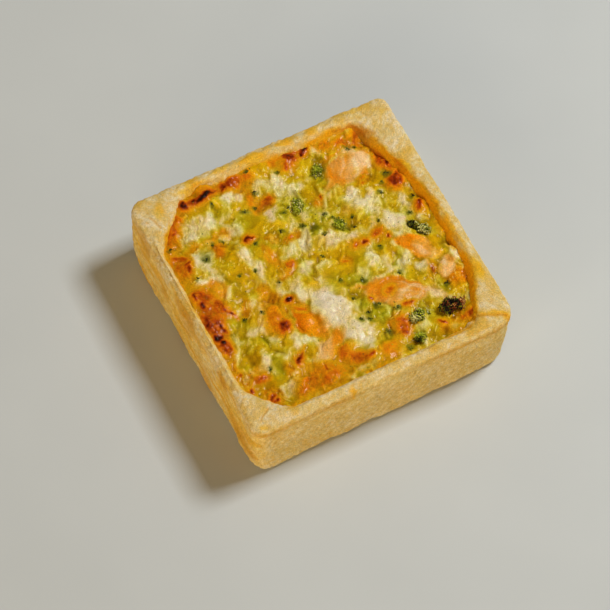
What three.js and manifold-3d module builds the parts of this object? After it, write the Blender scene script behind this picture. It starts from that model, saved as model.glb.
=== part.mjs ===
// A square salmon and broccoli mini quiche.
// Lengths are in millimetres, +Z is up and the origin is the middle of the base.
// +X is the right side, +Y the far side. A shortcrust shell with folded corners holds
// a set egg and cheese filling, and salmon pieces and broccoli florets lie in it.

import * as THREE from 'three';
import { mergeVertices } from 'three/addons/utils/BufferGeometryUtils.js';
import Module from 'manifold-3d';

const wasm = await Module();
wasm.setup();

// Shell: where its four sides stand, how high it is and how thick its floor is.
const LEFT = -42;
const RIGHT = 42.2;
const FRONT = -42;
const FAR = 42.4;
const SHELL_HEIGHT = 24.6;
const FLOOR_THICKNESS = 3.5;
const HALF_WIDTH = (RIGHT - LEFT) / 2;

// Outer corners at the rim and at the base, each as [x, y, rounding]. The shell is not
// quite a true square, and it draws in a little towards its base.
const RIM_CORNERS = [
  [RIGHT - 0.8, FRONT + 0.4, 7],
  [RIGHT, FAR - 0.4, 2.5],
  [LEFT + 1.2, FAR, 4.5],
  [LEFT, FRONT, 4.5],
];
const BASE_CORNERS = [
  [RIGHT - 1.6, FRONT + 1.7, 10],
  [RIGHT - 0.8, FAR - 1.2, 5],
  [LEFT + 1.4, FAR - 1, 6],
  [LEFT + 0.7, FRONT + 1, 6],
];

// Outer wall, from the base up: [bulge, height, how strongly it wanders in and out].
const WALL_PROFILE = [
  [-4, 0.3, 0],
  [-0.8, 0.3, 1.4],
  [-0.2, 1.1, 1.2],
  [0.1, 4.5, 1],
  [0.2, 9.5, 1],
  [0.1, 15, 1],
  [-0.1, 20, 1],
];
const WALL_WANDER = 0.3;

// The flat foot that the shell stands on: how far it lies inside the four sides, how much
// of its corners is cut off, and how high it lifts the shell's lower edge.
const FOOT = { inset: 3, corner: 9, height: WALL_PROFILE[0][1] };

// Rounded edges of the rim: [inward from the wall or outward from the inner edge, drop].
const OUTER_EDGE = [[-0.2, 1.5], [-0.5, 0.5], [-1.1, 0.1]];
const INNER_EDGE = [[0.6, 0.1], [0, 0.9]];
const RIM_WAVE = 0.35;

// Rim: its width on each side, and the folds that thicken it across each inner corner.
// A fold runs from so far along X to so far along Y from that corner.
const RIM = { front: 4.2, right: 4.7, far: 3.9, left: 3.4 };
const FOLDS = {
  frontRight: { alongX: 8, alongY: 17 },
  farRight: { alongX: 7, alongY: 28 },
  farLeft: { alongX: 14, alongY: 13.5 },
  frontLeft: { alongX: 9.5, alongY: 11 },
};
const INNER_ROUNDING = 3.5;

// How far the inner wall leans in on each side down to its knee, under the filling's top,
// and then by how much more at the heights below.
const WALL_LEAN = { front: 0.9, right: 2.6, far: 2.4, left: 0.9 };
const KNEE_HEIGHT = 18.5;
const HEEL_HEIGHT = FLOOR_THICKNESS + 1.5;
const HEEL_INSET = 2.2;
const FLOOR_INSET = 4;

// Filling: its mean level, its slope down to the right, its relief as height and width
// of the bumps, its rise along the rim, and the gap to what it touches.
const FILLING_LEVEL = 21.5;
const FILLING_SLOPE = -0.01;
const BROAD_RELIEF = { height: 1, width: 11 };
const CURD_RELIEF = { height: 0.8, width: 4.6 };
const EDGE_RISE = 0.8;
const GAP = 0.35;

// Lumps that stand out of the filling: [x, y, radius, height].
const LUMPS = [
  [-26, 35, 2.6, 1.2],
  [-19, 35.3, 3.4, 1],
  [-10.5, 35.5, 3, 1.5],
  [8.5, 36, 2.4, 1.1],
  [-36, -3.5, 4, 1.2],
  [-36, -12, 3, 1],
  [-36, 5.5, 3.4, 1],
  [-33.5, 17, 3.4, 1],
  [-18.5, -14, 3, 1.2],
  [-4.5, -2, 5, 1.3],
  [33, 16.5, 3.8, 1.2],
  [34.5, 5.5, 2.4, 1],
  [11, -29, 3.6, 1],
  [-12, -32, 6, 1],
  [5.5, -34, 4, 0.9],
  [-24, 27, 6, 0.8],
];

// Salmon pieces, from the largest: centre, length, width, height, turn in degrees and
// how much the piece bends along its length.
const SALMON = [
  { x: 16.5, y: -16.5, length: 21, width: 9.5, height: 6, turn: -24, bend: -1.2 },
  { x: 22, y: 26.3, length: 17, width: 10.5, height: 6, turn: 12, bend: 0 },
  { x: -11, y: -13.5, length: 14.5, width: 6.5, height: 6, turn: 97, bend: 0.8 },
  { x: 27.2, y: -7, length: 15.5, width: 5.5, height: 5, turn: -54, bend: 1.2 },
  { x: -19.5, y: -9.5, length: 11, width: 5.5, height: 5, turn: 70, bend: 0 },
  { x: -9, y: -24.5, length: 10.5, width: 6, height: 5, turn: 35, bend: 0 },
  { x: -30.5, y: 6, length: 8.5, width: 6, height: 5, turn: 60, bend: 0 },
  { x: 31.5, y: -16, length: 6.5, width: 5, height: 4.5, turn: 30, bend: 0 },
];
const LARGE_SALMON = 16;
const SALMON_RISE = 1;
const SALMON_FULLNESS = 0.85;
const FLAKE_WIDTH = 5.6;
const FLAKE_DEPTH = 0.45;

// Broccoli florets: centre, length, width, turn in degrees and number of buds.
const FLORETS = [
  { x: 27, y: -28.2, length: 10, width: 6.5, turn: -12, buds: 9, colour: 0x3a3310 },
  { x: 31, y: -1.5, length: 9, width: 4.2, turn: -52, buds: 6, colour: 0x4c5320 },
  { x: 17, y: -27, length: 6.5, width: 5, turn: 10, buds: 5, colour: 0x8c9340 },
  { x: 3.3, y: 20.7, length: 6.5, width: 4.8, turn: 60, buds: 5, colour: 0x8a9130 },
];

// Smaller sprigs, which are part of the filling's own solid.
const SPRIGS = [
  { x: 11, y: 9.5, length: 4.6, width: 4.2, turn: 0, buds: 3 },
  { x: 13.7, y: 28.7, length: 6.5, width: 3.4, turn: 62, buds: 3 },
  { x: 14.3, y: -33.4, length: 4.4, width: 4, turn: 0, buds: 3 },
];
const PIECES = [...SALMON, ...FLORETS];
const BUD_RADIUS = 1.1;
const BUD_SPREAD = 1.3;
const BUD_RISE = 0.6;
const CROWN_RISE = 0.5;
const STALK_DEPTH = 2;
const STALK_SINK = 0.3;
const GOLDEN_TURN = Math.PI * (3 - Math.sqrt(5));

// Broccoli crumbs that lie half sunk in the filling, scattered by a seeded rule over the
// part of it that is clear of the rim's folds.
const CRUMB_TRIES = 42;
const CRUMB_RADIUS = 0.8;
const CRUMB_CLEARANCE = 1.6;
const CRUMB_REACH = 34.5;
const FOLD_REACH = 60;

// Rays round the outline, and squares across the filling.
const RAYS_PER_SIDE = 24;
const FILLING_SQUARES = 34;

// Repeatable chance. The same numbers always give the same value from 0 to 1.
function chance(index, seed) {
  const value = Math.sin(index * 127.1 + seed * 311.7) * 43758.5453;
  return value - Math.floor(value);
}

// Smooth noise over a plane, from -1 to 1, with bumps about one unit apart.
function noise(x, y, seed) {
  const column = Math.floor(x);
  const row = Math.floor(y);
  const at = (right, up) => chance(column + right + 57 * (row + up), seed);
  const across = smooth(x - column);
  const near = mix(at(0, 0), at(1, 0), across);
  const far = mix(at(0, 1), at(1, 1), across);
  return 2 * mix(near, far, smooth(y - row)) - 1;
}

function smooth(t) {
  return t * t * t * (t * (t * 6 - 15) + 10);
}

function mix(a, b, share) {
  return a + (b - a) * share;
}

function clamped(value) {
  return Math.min(1, Math.max(0, value));
}

function radians(degrees) {
  return degrees * Math.PI / 180;
}

// A closed outline through corners given as [x, y, rounding], each rounded by a curve.
function softOutline(corners, steps = 6) {
  return corners.flatMap(([x, y, rounding], index) => {
    const here = new THREE.Vector2(x, y);
    const before = pointOf(corners.at(index - 1));
    const after = pointOf(corners[(index + 1) % corners.length]);
    const start = before.sub(here).setLength(rounding).add(here);
    const end = after.sub(here).setLength(rounding).add(here);
    return new THREE.QuadraticBezierCurve(start, here, end).getPoints(steps);
  });
}

function pointOf([x, y]) {
  return new THREE.Vector2(x, y);
}

// Where a ray from the middle crosses a closed outline.
function crossing(outline, direction) {
  for (let index = 0; index < outline.length; index += 1) {
    const from = outline[index];
    const edge = outline[(index + 1) % outline.length].clone().sub(from);
    const slant = direction.cross(edge);
    const reach = from.cross(edge) / slant;
    const share = from.cross(direction) / slant;
    if (reach > 0 && share >= 0 && share <= 1) {
      return direction.clone().multiplyScalar(reach);
    }
  }
  throw new Error('the outline does not surround the middle');
}

// The inner edge of the rim: the four sides, with a fold across each corner.
function rimInnerOutline() {
  const left = LEFT + RIM.left;
  const right = RIGHT - RIM.right;
  const front = FRONT + RIM.front;
  const far = FAR - RIM.far;
  const corners = [
    [left + FOLDS.frontLeft.alongX, front],
    [right - FOLDS.frontRight.alongX, front],
    [right, front + FOLDS.frontRight.alongY],
    [right, far - FOLDS.farRight.alongY],
    [right - FOLDS.farRight.alongX, far - 1],
    [left + FOLDS.farLeft.alongX, far],
    [left, far - FOLDS.farLeft.alongY],
    [left, front + FOLDS.frontLeft.alongY],
  ];
  return softOutline(corners.map(([x, y]) => [x, y, INNER_ROUNDING]));
}

const RIM_OUTLINE = softOutline(RIM_CORNERS);
const BASE_OUTLINE = softOutline(BASE_CORNERS);
const INNER_OUTLINE = rimInnerOutline();

// Moves a plan point outward by a distance measured square to the sides.
function grown(point, distance) {
  return point.clone().multiplyScalar(1 + distance / HALF_WIDTH);
}

// Directions to points round a square, closer together towards its corners.
function rayDirections() {
  const middle = new THREE.Vector2();
  const directions = [];
  for (let side = 0; side < 4; side += 1) {
    for (let step = 0; step < RAYS_PER_SIDE; step += 1) {
      const t = 2 * step / RAYS_PER_SIDE - 1;
      const ray = new THREE.Vector2(1.25 * t - 0.25 * t ** 3, -1).normalize();
      directions.push(ray.rotateAround(middle, side * Math.PI / 2));
    }
  }
  return directions;
}

// How far the inner wall leans in at a plan point: a blend of the nearest sides.
function leanAt(point) {
  const { x, y } = point.clone().normalize();
  const sideways = x > 0 ? WALL_LEAN.right : WALL_LEAN.left;
  const lengthways = y > 0 ? WALL_LEAN.far : WALL_LEAN.front;
  return mix(lengthways, sideways, smooth(x * x));
}

// How far inside the rim's inner edge the wall stands at a height.
function wallInset(point, height) {
  const lean = leanAt(point);
  const stations = [
    [FLOOR_THICKNESS, lean + FLOOR_INSET],
    [HEEL_HEIGHT, lean + HEEL_INSET],
    [KNEE_HEIGHT, lean],
    [SHELL_HEIGHT - INNER_EDGE[1][1], 0],
  ];
  const above = stations.findIndex(([top]) => height <= top);
  if (above === 0) {
    return stations[0][1];
  }
  const [lowHeight, lowInset] = stations.at(above - 1);
  const [topHeight, topInset] = stations.at(above);
  return above < 0 ? 0 : mix(lowInset, topInset, (height - lowHeight) / (topHeight - lowHeight));
}

// A closed skin through rings of equal count, from a point below to a point at the end.
function skin(start, rings, end) {
  const vertices = [start, ...rings.flat(), end];
  const count = rings[0].length;
  const last = vertices.length - 1;
  const triangles = [];
  for (let index = 0; index < count; index += 1) {
    const next = (index + 1) % count;
    triangles.push(0, 1 + next, 1 + index);
    for (let level = 0; level < rings.length - 1; level += 1) {
      const low = 1 + level * count;
      const high = low + count;
      triangles.push(low + index, low + next, high + next);
      triangles.push(low + index, high + next, high + index);
    }
    triangles.push(last, last - count + index, last - count + next);
  }
  return meshGeometry(vertices, triangles);
}

function meshGeometry(vertices, triangles) {
  const geometry = new THREE.BufferGeometry().setFromPoints(vertices);
  geometry.setIndex(triangles);
  geometry.computeVertexNormals();
  return geometry;
}

function raised(point, height) {
  return new THREE.Vector3(point.x, point.y, height);
}

// A ring of the outer wall, between the outlines of the base and the rim. It wanders in
// and out round the shell.
function wallRing(base, rim, [bulge, height, strength]) {
  return base.map((low, index) => {
    const point = low.clone().lerp(rim[index], height / SHELL_HEIGHT);
    const along = 10 * Math.atan2(point.y, point.x);
    const wander = WALL_WANDER * strength * noise(along, height / 6, 3);
    return raised(grown(point, bulge + wander), height);
  });
}

// A ring along one edge of the rim, whose top rises and falls a little.
function rimRing(outline, [outward, drop]) {
  return outline.map((point) => {
    const wave = RIM_WAVE * noise(point.x / 13, point.y / 13, 8);
    return raised(grown(point, outward), SHELL_HEIGHT - drop + wave);
  });
}

function insideRing(inner, height) {
  return inner.map((point) => raised(grown(point, -wallInset(point, height)), height));
}

// The pastry shell: floor, outer wall, rounded rim and leaning inner wall.
function pastryGeometry() {
  const rays = rayDirections();
  const base = rays.map((ray) => crossing(BASE_OUTLINE, ray));
  const outer = rays.map((ray) => crossing(RIM_OUTLINE, ray));
  const inner = rays.map((ray) => crossing(INNER_OUTLINE, ray));
  const halfway = inner.map((point) => raised(point.clone().multiplyScalar(0.5), FLOOR_THICKNESS));
  const rings = [
    ...WALL_PROFILE.map((station) => wallRing(base, outer, station)),
    ...OUTER_EDGE.map((station) => rimRing(outer, station)),
    ...INNER_EDGE.map((station) => rimRing(inner, station)),
    insideRing(inner, KNEE_HEIGHT),
    insideRing(inner, (KNEE_HEIGHT + HEEL_HEIGHT) / 2),
    insideRing(inner, HEEL_HEIGHT),
    insideRing(inner, FLOOR_THICKNESS),
    halfway,
  ];
  const start = new THREE.Vector3(0, 0, FOOT.height);
  return skin(start, rings, new THREE.Vector3(0, 0, FLOOR_THICKNESS));
}

// The foot: a square plate with its corners cut off, half sunk in the shell's floor.
function footGeometry() {
  const [left, right] = [LEFT + FOOT.inset, RIGHT - FOOT.inset];
  const [front, far] = [FRONT + FOOT.inset, FAR - FOOT.inset];
  const corners = [
    [left + FOOT.corner, front],
    [right - FOOT.corner, front],
    [right, front + FOOT.corner],
    [right, far - FOOT.corner],
    [right - FOOT.corner, far],
    [left + FOOT.corner, far],
    [left, far - FOOT.corner],
    [left, front + FOOT.corner],
  ];
  const outline = new THREE.Shape(corners.map(pointOf));
  return new THREE.ExtrudeGeometry(outline, { depth: FLOOR_THICKNESS / 2, bevelEnabled: false });
}

// How far a plan point is from a piece's middle: 1 on its edge, when grown by so much.
function ovalDistance(piece, x, y, growth) {
  const turn = radians(piece.turn);
  const [dx, dy] = [x - piece.x, y - piece.y];
  const along = dx * Math.cos(turn) + dy * Math.sin(turn);
  const across = dy * Math.cos(turn) - dx * Math.sin(turn);
  return Math.hypot(along / (piece.length / 2 + growth), across / (piece.width / 2 + growth));
}

// The height of the filling's surface at a plan point. It evens out round each piece.
function fillingHeight(x, y) {
  const broad = BROAD_RELIEF.height * noise(x / BROAD_RELIEF.width, y / BROAD_RELIEF.width, 21);
  const curds = CURD_RELIEF.height * noise(x / CURD_RELIEF.width, y / CURD_RELIEF.width, 22);
  const nearest = Math.min(...PIECES.map((piece) => ovalDistance(piece, x, y, 0)));
  let height = FILLING_LEVEL + FILLING_SLOPE * x;
  height += (broad + curds) * smooth(clamped(nearest - 0.3));
  for (const [lumpX, lumpY, radius, rise] of LUMPS) {
    const distance = Math.hypot(x - lumpX, y - lumpY) / radius;
    height += rise * Math.exp(-distance * distance);
  }
  const edge = Math.max(Math.abs(x), Math.abs(y)) / HALF_WIDTH;
  return height + EDGE_RISE * smooth(clamped((edge - 0.7) / 0.25));
}

// A point of the filling's surface for u and v from -1 to 1, fitted to the rim's shape.
function fillingPoint(u, v) {
  const outward = Math.max(Math.abs(u), Math.abs(v));
  if (outward === 0) {
    return new THREE.Vector3(0, 0, fillingHeight(0, 0));
  }
  const square = new THREE.Vector2(u, v).multiplyScalar(HALF_WIDTH - RIM.right);
  const edge = crossing(INNER_OUTLINE, square.clone().normalize());
  const level = fillingHeight(edge.x, edge.y);
  const fitted = grown(edge, -wallInset(edge, level) - GAP).multiplyScalar(outward);
  const place = square.lerp(fitted, outward ** 4);
  return raised(place, fillingHeight(place.x, place.y));
}

// The filling's body: squares over the top, then sides that follow the shell's wall.
function fillingGeometry() {
  const squares = FILLING_SQUARES;
  const vertices = [];
  const triangles = [];
  const indexOf = (column, row) => row * (squares + 1) + column;
  for (let row = 0; row <= squares; row += 1) {
    for (let column = 0; column <= squares; column += 1) {
      vertices.push(fillingPoint(2 * column / squares - 1, 2 * row / squares - 1));
    }
  }
  for (let row = 0; row < squares; row += 1) {
    for (let column = 0; column < squares; column += 1) {
      const [a, b] = [indexOf(column, row), indexOf(column + 1, row)];
      const [d, c] = [indexOf(column, row + 1), indexOf(column + 1, row + 1)];
      triangles.push(a, b, c, a, c, d);
    }
  }

  let upper = [];
  for (let step = 0; step < squares; step += 1) {
    upper[step] = indexOf(step, 0);
    upper[squares + step] = indexOf(squares, step);
    upper[2 * squares + step] = indexOf(squares - step, squares);
    upper[3 * squares + step] = indexOf(0, squares - step);
  }
  const bottom = FLOOR_THICKNESS + GAP;
  for (const height of [KNEE_HEIGHT, HEEL_HEIGHT, bottom]) {
    const lower = upper.map((index) => {
      const { x, y } = vertices[index];
      const edge = crossing(INNER_OUTLINE, new THREE.Vector2(x, y).normalize());
      const place = grown(edge, -wallInset(edge, height) - GAP);
      return vertices.push(raised(place, height)) - 1;
    });
    upper.forEach((top, index) => {
      const next = (index + 1) % upper.length;
      triangles.push(lower[index], lower[next], upper[next]);
      triangles.push(lower[index], upper[next], top);
    });
    upper = lower;
  }
  const middle = vertices.push(new THREE.Vector3(0, 0, bottom)) - 1;
  upper.forEach((index, step) => {
    triangles.push(middle, upper[(step + 1) % upper.length], index);
  });
  return meshGeometry(vertices, triangles);
}

// Conversions between three.js geometry and a solid that can be cut and joined.
function solidOf(geometry) {
  const bare = geometry.clone();
  bare.deleteAttribute('normal');
  bare.deleteAttribute('uv');
  const merged = mergeVertices(bare);
  return new wasm.Manifold(new wasm.Mesh({
    numProp: 3,
    vertProperties: Float32Array.from(merged.attributes.position.array),
    triVerts: Uint32Array.from(merged.index.array),
  }));
}

function geometryOf(solid) {
  const { vertProperties, triVerts } = solid.getMesh();
  const geometry = new THREE.BufferGeometry();
  geometry.setAttribute('position', new THREE.BufferAttribute(vertProperties, 3));
  geometry.setIndex(new THREE.BufferAttribute(triVerts, 1));
  geometry.computeVertexNormals();
  return geometry;
}

// A salmon piece, or the plainer hollow that it lies in when it is grown: a flattened
// lump whose top is broken into flakes across its length.
function salmonGeometry(piece, growth = 0) {
  const fineness = (piece.length > LARGE_SALMON ? 3 : 2) - (growth > 0 ? 1 : 0);
  const geometry = new THREE.IcosahedronGeometry(1, fineness);
  const position = geometry.attributes.position;
  const turn = radians(piece.turn);
  const base = fillingHeight(piece.x, piece.y) + SALMON_RISE - piece.height / 2;
  for (let index = 0; index < position.count; index += 1) {
    const [x, y, z] = [position.getX(index), position.getY(index), position.getZ(index)];
    const along = full(x) * (piece.length / 2 + growth);
    const bent = piece.bend * (1 - (2 * along / piece.length) ** 2);
    const across = full(y) * (piece.width / 2 + growth) + bent;
    const flake = Math.cos(2 * Math.PI * (along + 0.4 * across) / FLAKE_WIDTH);
    const height = full(z) * (piece.height / 2 + growth) + FLAKE_DEPTH * flake * Math.max(0, z);
    position.setXYZ(
      index,
      piece.x + along * Math.cos(turn) - across * Math.sin(turn),
      piece.y + along * Math.sin(turn) + across * Math.cos(turn),
      base + height,
    );
  }
  return geometry;
}

// Pushes a coordinate of the unit ball outward, so that the lump is boxier than a ball.
function full(value) {
  return Math.sign(value) * Math.abs(value) ** SALMON_FULLNESS;
}

// A floret: buds packed in a spiral over an oval stalk, joined into one lumpy solid.
function floretSolid(floret) {
  const turn = radians(floret.turn);
  const halfLength = floret.length / 2 - BUD_SPREAD * BUD_RADIUS;
  const halfWidth = floret.width / 2 - BUD_SPREAD * BUD_RADIUS;
  let solid = solidOf(ovalGeometry(floret, 0, floret.buds > 3 ? 1 : 0));
  for (let bud = 0; bud < floret.buds; bud += 1) {
    const reach = Math.sqrt((bud + 0.6) / floret.buds);
    const along = reach * Math.cos(bud * GOLDEN_TURN) * halfLength;
    const across = reach * Math.sin(bud * GOLDEN_TURN) * halfWidth;
    const x = floret.x + along * Math.cos(turn) - across * Math.sin(turn);
    const y = floret.y + along * Math.sin(turn) + across * Math.cos(turn);
    const radius = BUD_RADIUS * mix(1, BUD_SPREAD, chance(bud, 40));
    const ball = new THREE.OctahedronGeometry(radius, 1).rotateZ(bud).rotateX(bud);
    const height = fillingHeight(x, y) + BUD_RISE + CROWN_RISE * (1 - reach);
    solid = solid.add(solidOf(ball.translate(x, y, height)));
  }
  return solid;
}

// An oval ball in a floret's place, grown all round by so much.
function ovalGeometry(floret, growth, fineness) {
  const oval = new THREE.IcosahedronGeometry(1, fineness);
  oval.scale(floret.length / 2 + growth, floret.width / 2 + growth, STALK_DEPTH + growth);
  oval.rotateZ(radians(floret.turn));
  const level = fillingHeight(floret.x, floret.y) - STALK_SINK;
  return oval.translate(floret.x, floret.y, level);
}

// Crumbs of broccoli, thickest over the right half, that stay clear of the pieces.
function crumbSolids() {
  const solids = [];
  for (let index = 0; index < CRUMB_TRIES; index += 1) {
    const x = mix(-CRUMB_REACH, CRUMB_REACH, Math.sqrt(chance(index, 51)));
    const y = mix(-CRUMB_REACH, CRUMB_REACH, chance(index, 52));
    const isClear = [...PIECES, ...SPRIGS].every(
      (piece) => ovalDistance(piece, x, y, CRUMB_CLEARANCE) > 1,
    );
    if (isClear && Math.abs(x) + Math.abs(y) < FOLD_REACH) {
      const radius = CRUMB_RADIUS * mix(0.75, 1.3, chance(index, 53));
      const crumb = new THREE.IcosahedronGeometry(radius, 0);
      crumb.scale(1, mix(0.7, 1.2, chance(index, 54)), 0.8).rotateZ(index);
      crumb.translate(x, y, fillingHeight(x, y) + 0.15 * radius);
      solids.push(solidOf(crumb));
    }
  }
  return solids;
}

// The filling with its crumbs and sprigs joined on and a close hollow for every piece.
function fillingSolid() {
  let filling = solidOf(fillingGeometry());
  for (const morsel of [...crumbSolids(), ...SPRIGS.map(floretSolid)]) {
    filling = filling.add(morsel);
  }
  for (const piece of SALMON) {
    filling = filling.subtract(solidOf(salmonGeometry(piece, 2 * GAP)));
  }
  for (const floret of FLORETS) {
    filling = filling.subtract(solidOf(ovalGeometry(floret, 1.5 * GAP, 2)));
  }
  const bodies = filling.decompose();
  return bodies.reduce((best, body) => (body.volume() > best.volume() ? body : best));
}

const quiche = new THREE.Group();

function addPiece(name, geometry, color, roughness) {
  const material = new THREE.MeshStandardMaterial({ color, roughness, metalness: 0 });
  const mesh = new THREE.Mesh(geometry, material);
  mesh.name = name;
  quiche.add(mesh);
}

const shell = solidOf(pastryGeometry()).add(solidOf(footGeometry()));
addPiece('pastry', geometryOf(shell), 0xd8b070, 0.75);
addPiece('filling', geometryOf(fillingSolid()), 0xc8a040, 0.4);
SALMON.forEach((piece, index) => {
  addPiece(`salmon_${index + 1}`, salmonGeometry(piece), 0xd8903c, 0.4);
});
FLORETS.forEach((floret, index) => {
  addPiece(`floret_${index + 1}`, geometryOf(floretSolid(floret)), floret.colour, 0.6);
});

export default quiche;
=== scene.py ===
"""The looks of a square salmon and broccoli mini quiche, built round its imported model.

Lengths here are millimetres in the model's own frame, and add_piece turns them into metres.
The top is worked out first as a plan: layers of height, colour, wetness and flakes over x
and y. The filling and the salmon pieces then take their relief and colours from that plan.
Colours are written as screen values from 0 to 255. Every noise and every draw is seeded.
"""

import math

import bmesh
import bpy
import numpy as np
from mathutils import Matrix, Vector


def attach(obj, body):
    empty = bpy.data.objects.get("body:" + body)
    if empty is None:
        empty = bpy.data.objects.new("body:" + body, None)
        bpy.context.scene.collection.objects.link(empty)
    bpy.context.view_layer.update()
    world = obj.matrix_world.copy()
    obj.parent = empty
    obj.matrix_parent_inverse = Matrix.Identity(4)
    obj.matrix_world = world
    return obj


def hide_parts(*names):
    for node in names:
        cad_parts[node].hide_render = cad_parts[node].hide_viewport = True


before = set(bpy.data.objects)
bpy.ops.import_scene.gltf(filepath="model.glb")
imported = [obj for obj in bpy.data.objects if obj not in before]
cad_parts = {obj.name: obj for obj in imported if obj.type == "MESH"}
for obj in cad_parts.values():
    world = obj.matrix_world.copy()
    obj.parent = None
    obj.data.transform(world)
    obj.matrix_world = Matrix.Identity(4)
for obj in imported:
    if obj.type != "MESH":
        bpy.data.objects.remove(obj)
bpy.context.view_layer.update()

METRES = 0.001
BODY = "root"

# Camera: where it looks from, how far away it is, and the point in the picture's middle,
# given as steps to the right and up from a point over the middle of the quiche.
CAMERA_AZIMUTH = -27.35
CAMERA_ELEVATION = 60.3
CAMERA_DISTANCE = 1200
CAMERA_CLIP = (0.1, 20)
FOCAL_PIXELS = 4230
PICTURE_PIXELS = 610
SENSOR_WIDTH = 36
AIM_OVER = (1, 0.5, 25)
AIM_RIGHT = -5.1
AIM_UP = -13.3

# Light: a soft lamp high at the right, a broad warm one low at the front left, and a dim
# even sky. Each lamp as (azimuth, elevation, distance, size, watts, colour), in metres.
KEY_LAMP = (89, 56, 1.1, 0.29, 9.7, (0.93, 0.96, 0.96))
FILL_LAMP = (-49, 8, 1.3, 1.1, 14.5, (1, 0.82, 0.53))
SKY_STRENGTH = 0.17
SKY_COLOUR = (1, 0.75, 0.42)

# Floor: how far it reaches in metres, and the two tones that it varies between.
FLOOR_REACH = 3
FLOOR_TONES = [(198, 202, 204), (201, 205, 207)]

# Shell: where its sides stand, its height and the thickness of its floor.
LEFT = -42
RIGHT = 42.2
FRONT = -42
FAR = 42.4
SHELL_HEIGHT = 24.6
FLOOR_THICKNESS = 3.5
HALF_WIDTH = (RIGHT - LEFT) / 2

# Outer corners at the rim and at the base, each as (x, y, rounding).
RIM_CORNERS = [
    (RIGHT - 0.8, FRONT + 0.4, 7), (RIGHT, FAR - 0.4, 2.5), (LEFT + 1.2, FAR, 4.5),
    (LEFT, FRONT, 4.5),
]
BASE_CORNERS = [
    (RIGHT - 1.6, FRONT + 1.7, 10), (RIGHT - 0.8, FAR - 1.2, 5), (LEFT + 1.4, FAR - 1, 6),
    (LEFT + 0.7, FRONT + 1, 6),
]

# Outer wall from its foot up: (bulge, height, how strongly it wanders in and out).
WALL_PROFILE = [
    (-14, 0, 0), (-3.4, 0, 0), (-1.2, 0.2, 0.8), (-0.2, 1.1, 1.2), (0.1, 4.5, 1), (0.2, 9.5, 1),
    (0.1, 15, 1), (-0.1, 20, 1),
]
WALL_WANDER = 0.3

# Rounded edges of the rim: (how far outward of its line, drop below the rim's top).
OUTER_EDGE = [(-0.2, 1.5), (-0.5, 0.5), (-1.1, 0.1)]
INNER_EDGE = [(0.6, 0.1), (0, 0.9)]
RIM_WAVE = 0.35

# Rim: its width on each side, and how far each inner corner's fold runs along X and Y.
RIM_FRONT = 4.2
RIM_RIGHT = 4.7
RIM_FAR = 3.9
RIM_LEFT = 3.4
FOLD_FRONT_RIGHT = (8, 17)
FOLD_FAR_RIGHT = (7, 28)
FOLD_FAR_LEFT = (14, 13.5)
FOLD_FRONT_LEFT = (9.5, 11)
INNER_ROUNDING = 3.5

# Inner wall: how far it leans in on each side, and by how much more it does lower down.
LEAN_FRONT = 0.9
LEAN_RIGHT = 2.6
LEAN_FAR = 2.4
LEAN_LEFT = 0.9
KNEE_HEIGHT = 18.5
HEEL_HEIGHT = FLOOR_THICKNESS + 1.5
HEEL_INSET = 2.2
FLOOR_INSET = 4

# Filling: its mean level, its slope to the right, its bumps as (height, width), its rise
# along the rim, and the lumps in it as (x, y, radius, height).
FILLING_LEVEL = 21.5
FILLING_SLOPE = -0.01
BROAD_RELIEF = (1, 11)
CURD_RELIEF = (0.8, 4.6)
EDGE_RISE = 0.8
LUMPS = [
    (-26, 35, 2.6, 1.2), (-19, 35.3, 3.4, 1), (-10.5, 35.5, 3, 1.5), (8.5, 36, 2.4, 1.1),
    (-36, -3.5, 4, 1.2), (-36, -12, 3, 1), (-36, 5.5, 3.4, 1), (-33.5, 17, 3.4, 1),
    (-18.5, -14, 3, 1.2), (-4.5, -2, 5, 1.3), (33, 16.5, 3.8, 1.2), (34.5, 5.5, 2.4, 1),
    (11, -29, 3.6, 1), (-12, -32, 6, 1), (5.5, -34, 4, 0.9), (-24, 27, 6, 0.8),
]

# Salmon pieces in the order of their nodes: (x, y, length, width, turn in degrees, height,
# how much it bends), then how far they rise, how boxy they are and how flaky.
SALMON = [
    (16.5, -16.5, 21, 9.5, -24, 6, -1.2),
    (22, 26.3, 17, 10.5, 12, 6, 0),
    (-11, -13.5, 14.5, 6.5, 97, 6, 0.8),
    (27.2, -7, 15.5, 5.5, -54, 5, 1.2),
    (-19.5, -9.5, 11, 5.5, 70, 5, 0),
    (-9, -24.5, 10.5, 6, 35, 5, 0),
    (-30.5, 6, 8.5, 6, 60, 5, 0),
    (31.5, -16, 6.5, 5, 30, 4.5, 0),
]
SALMON_RISE = 1
SALMON_FULLNESS = 0.85
FLAKE_WIDTH = 5.6
FLAKE_DEPTH = 0.25

# Broccoli florets in the order of their nodes, and sprigs that belong to the filling:
# (x, y, length, width, turn, clumps of buds).
FLORETS = [
    (27, -28.2, 10, 6.5, -12, 9),
    (31, -1.5, 9, 4.2, -52, 6),
    (17, -27, 6.5, 5, 10, 5),
    (3.3, 20.7, 6.5, 4.8, 60, 5),
]
SPRIGS = [
    (11, 9.5, 4.6, 4.2, 0, 3),
    (13.7, 28.7, 6.5, 3.4, 62, 3),
    (14.3, -33.4, 4.4, 4, 0, 3),
]
PIECES = [*SALMON, *FLORETS]
CLUMP_RADIUS = 1.1
CLUMP_SPREAD = 1.3
CLUMP_RISE = 0.6
CROWN_RISE = 0.5
GOLDEN_TURN = math.pi * (3 - math.sqrt(5))

# Plan of the top: how far it reaches from the middle, the width of its squares, the
# direction in which the cheese is streaked, and how coarse its melting is.
PLAN_REACH = 40.5
PLAN_STEP = 0.18
STREAK_TURN = 62
MELT_SIZE = 1.7

# Steps along each rounded corner of an outline, and along each step between its points.
CORNER_STEPS = 12
SHARES_PER_STEP = 24

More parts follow.
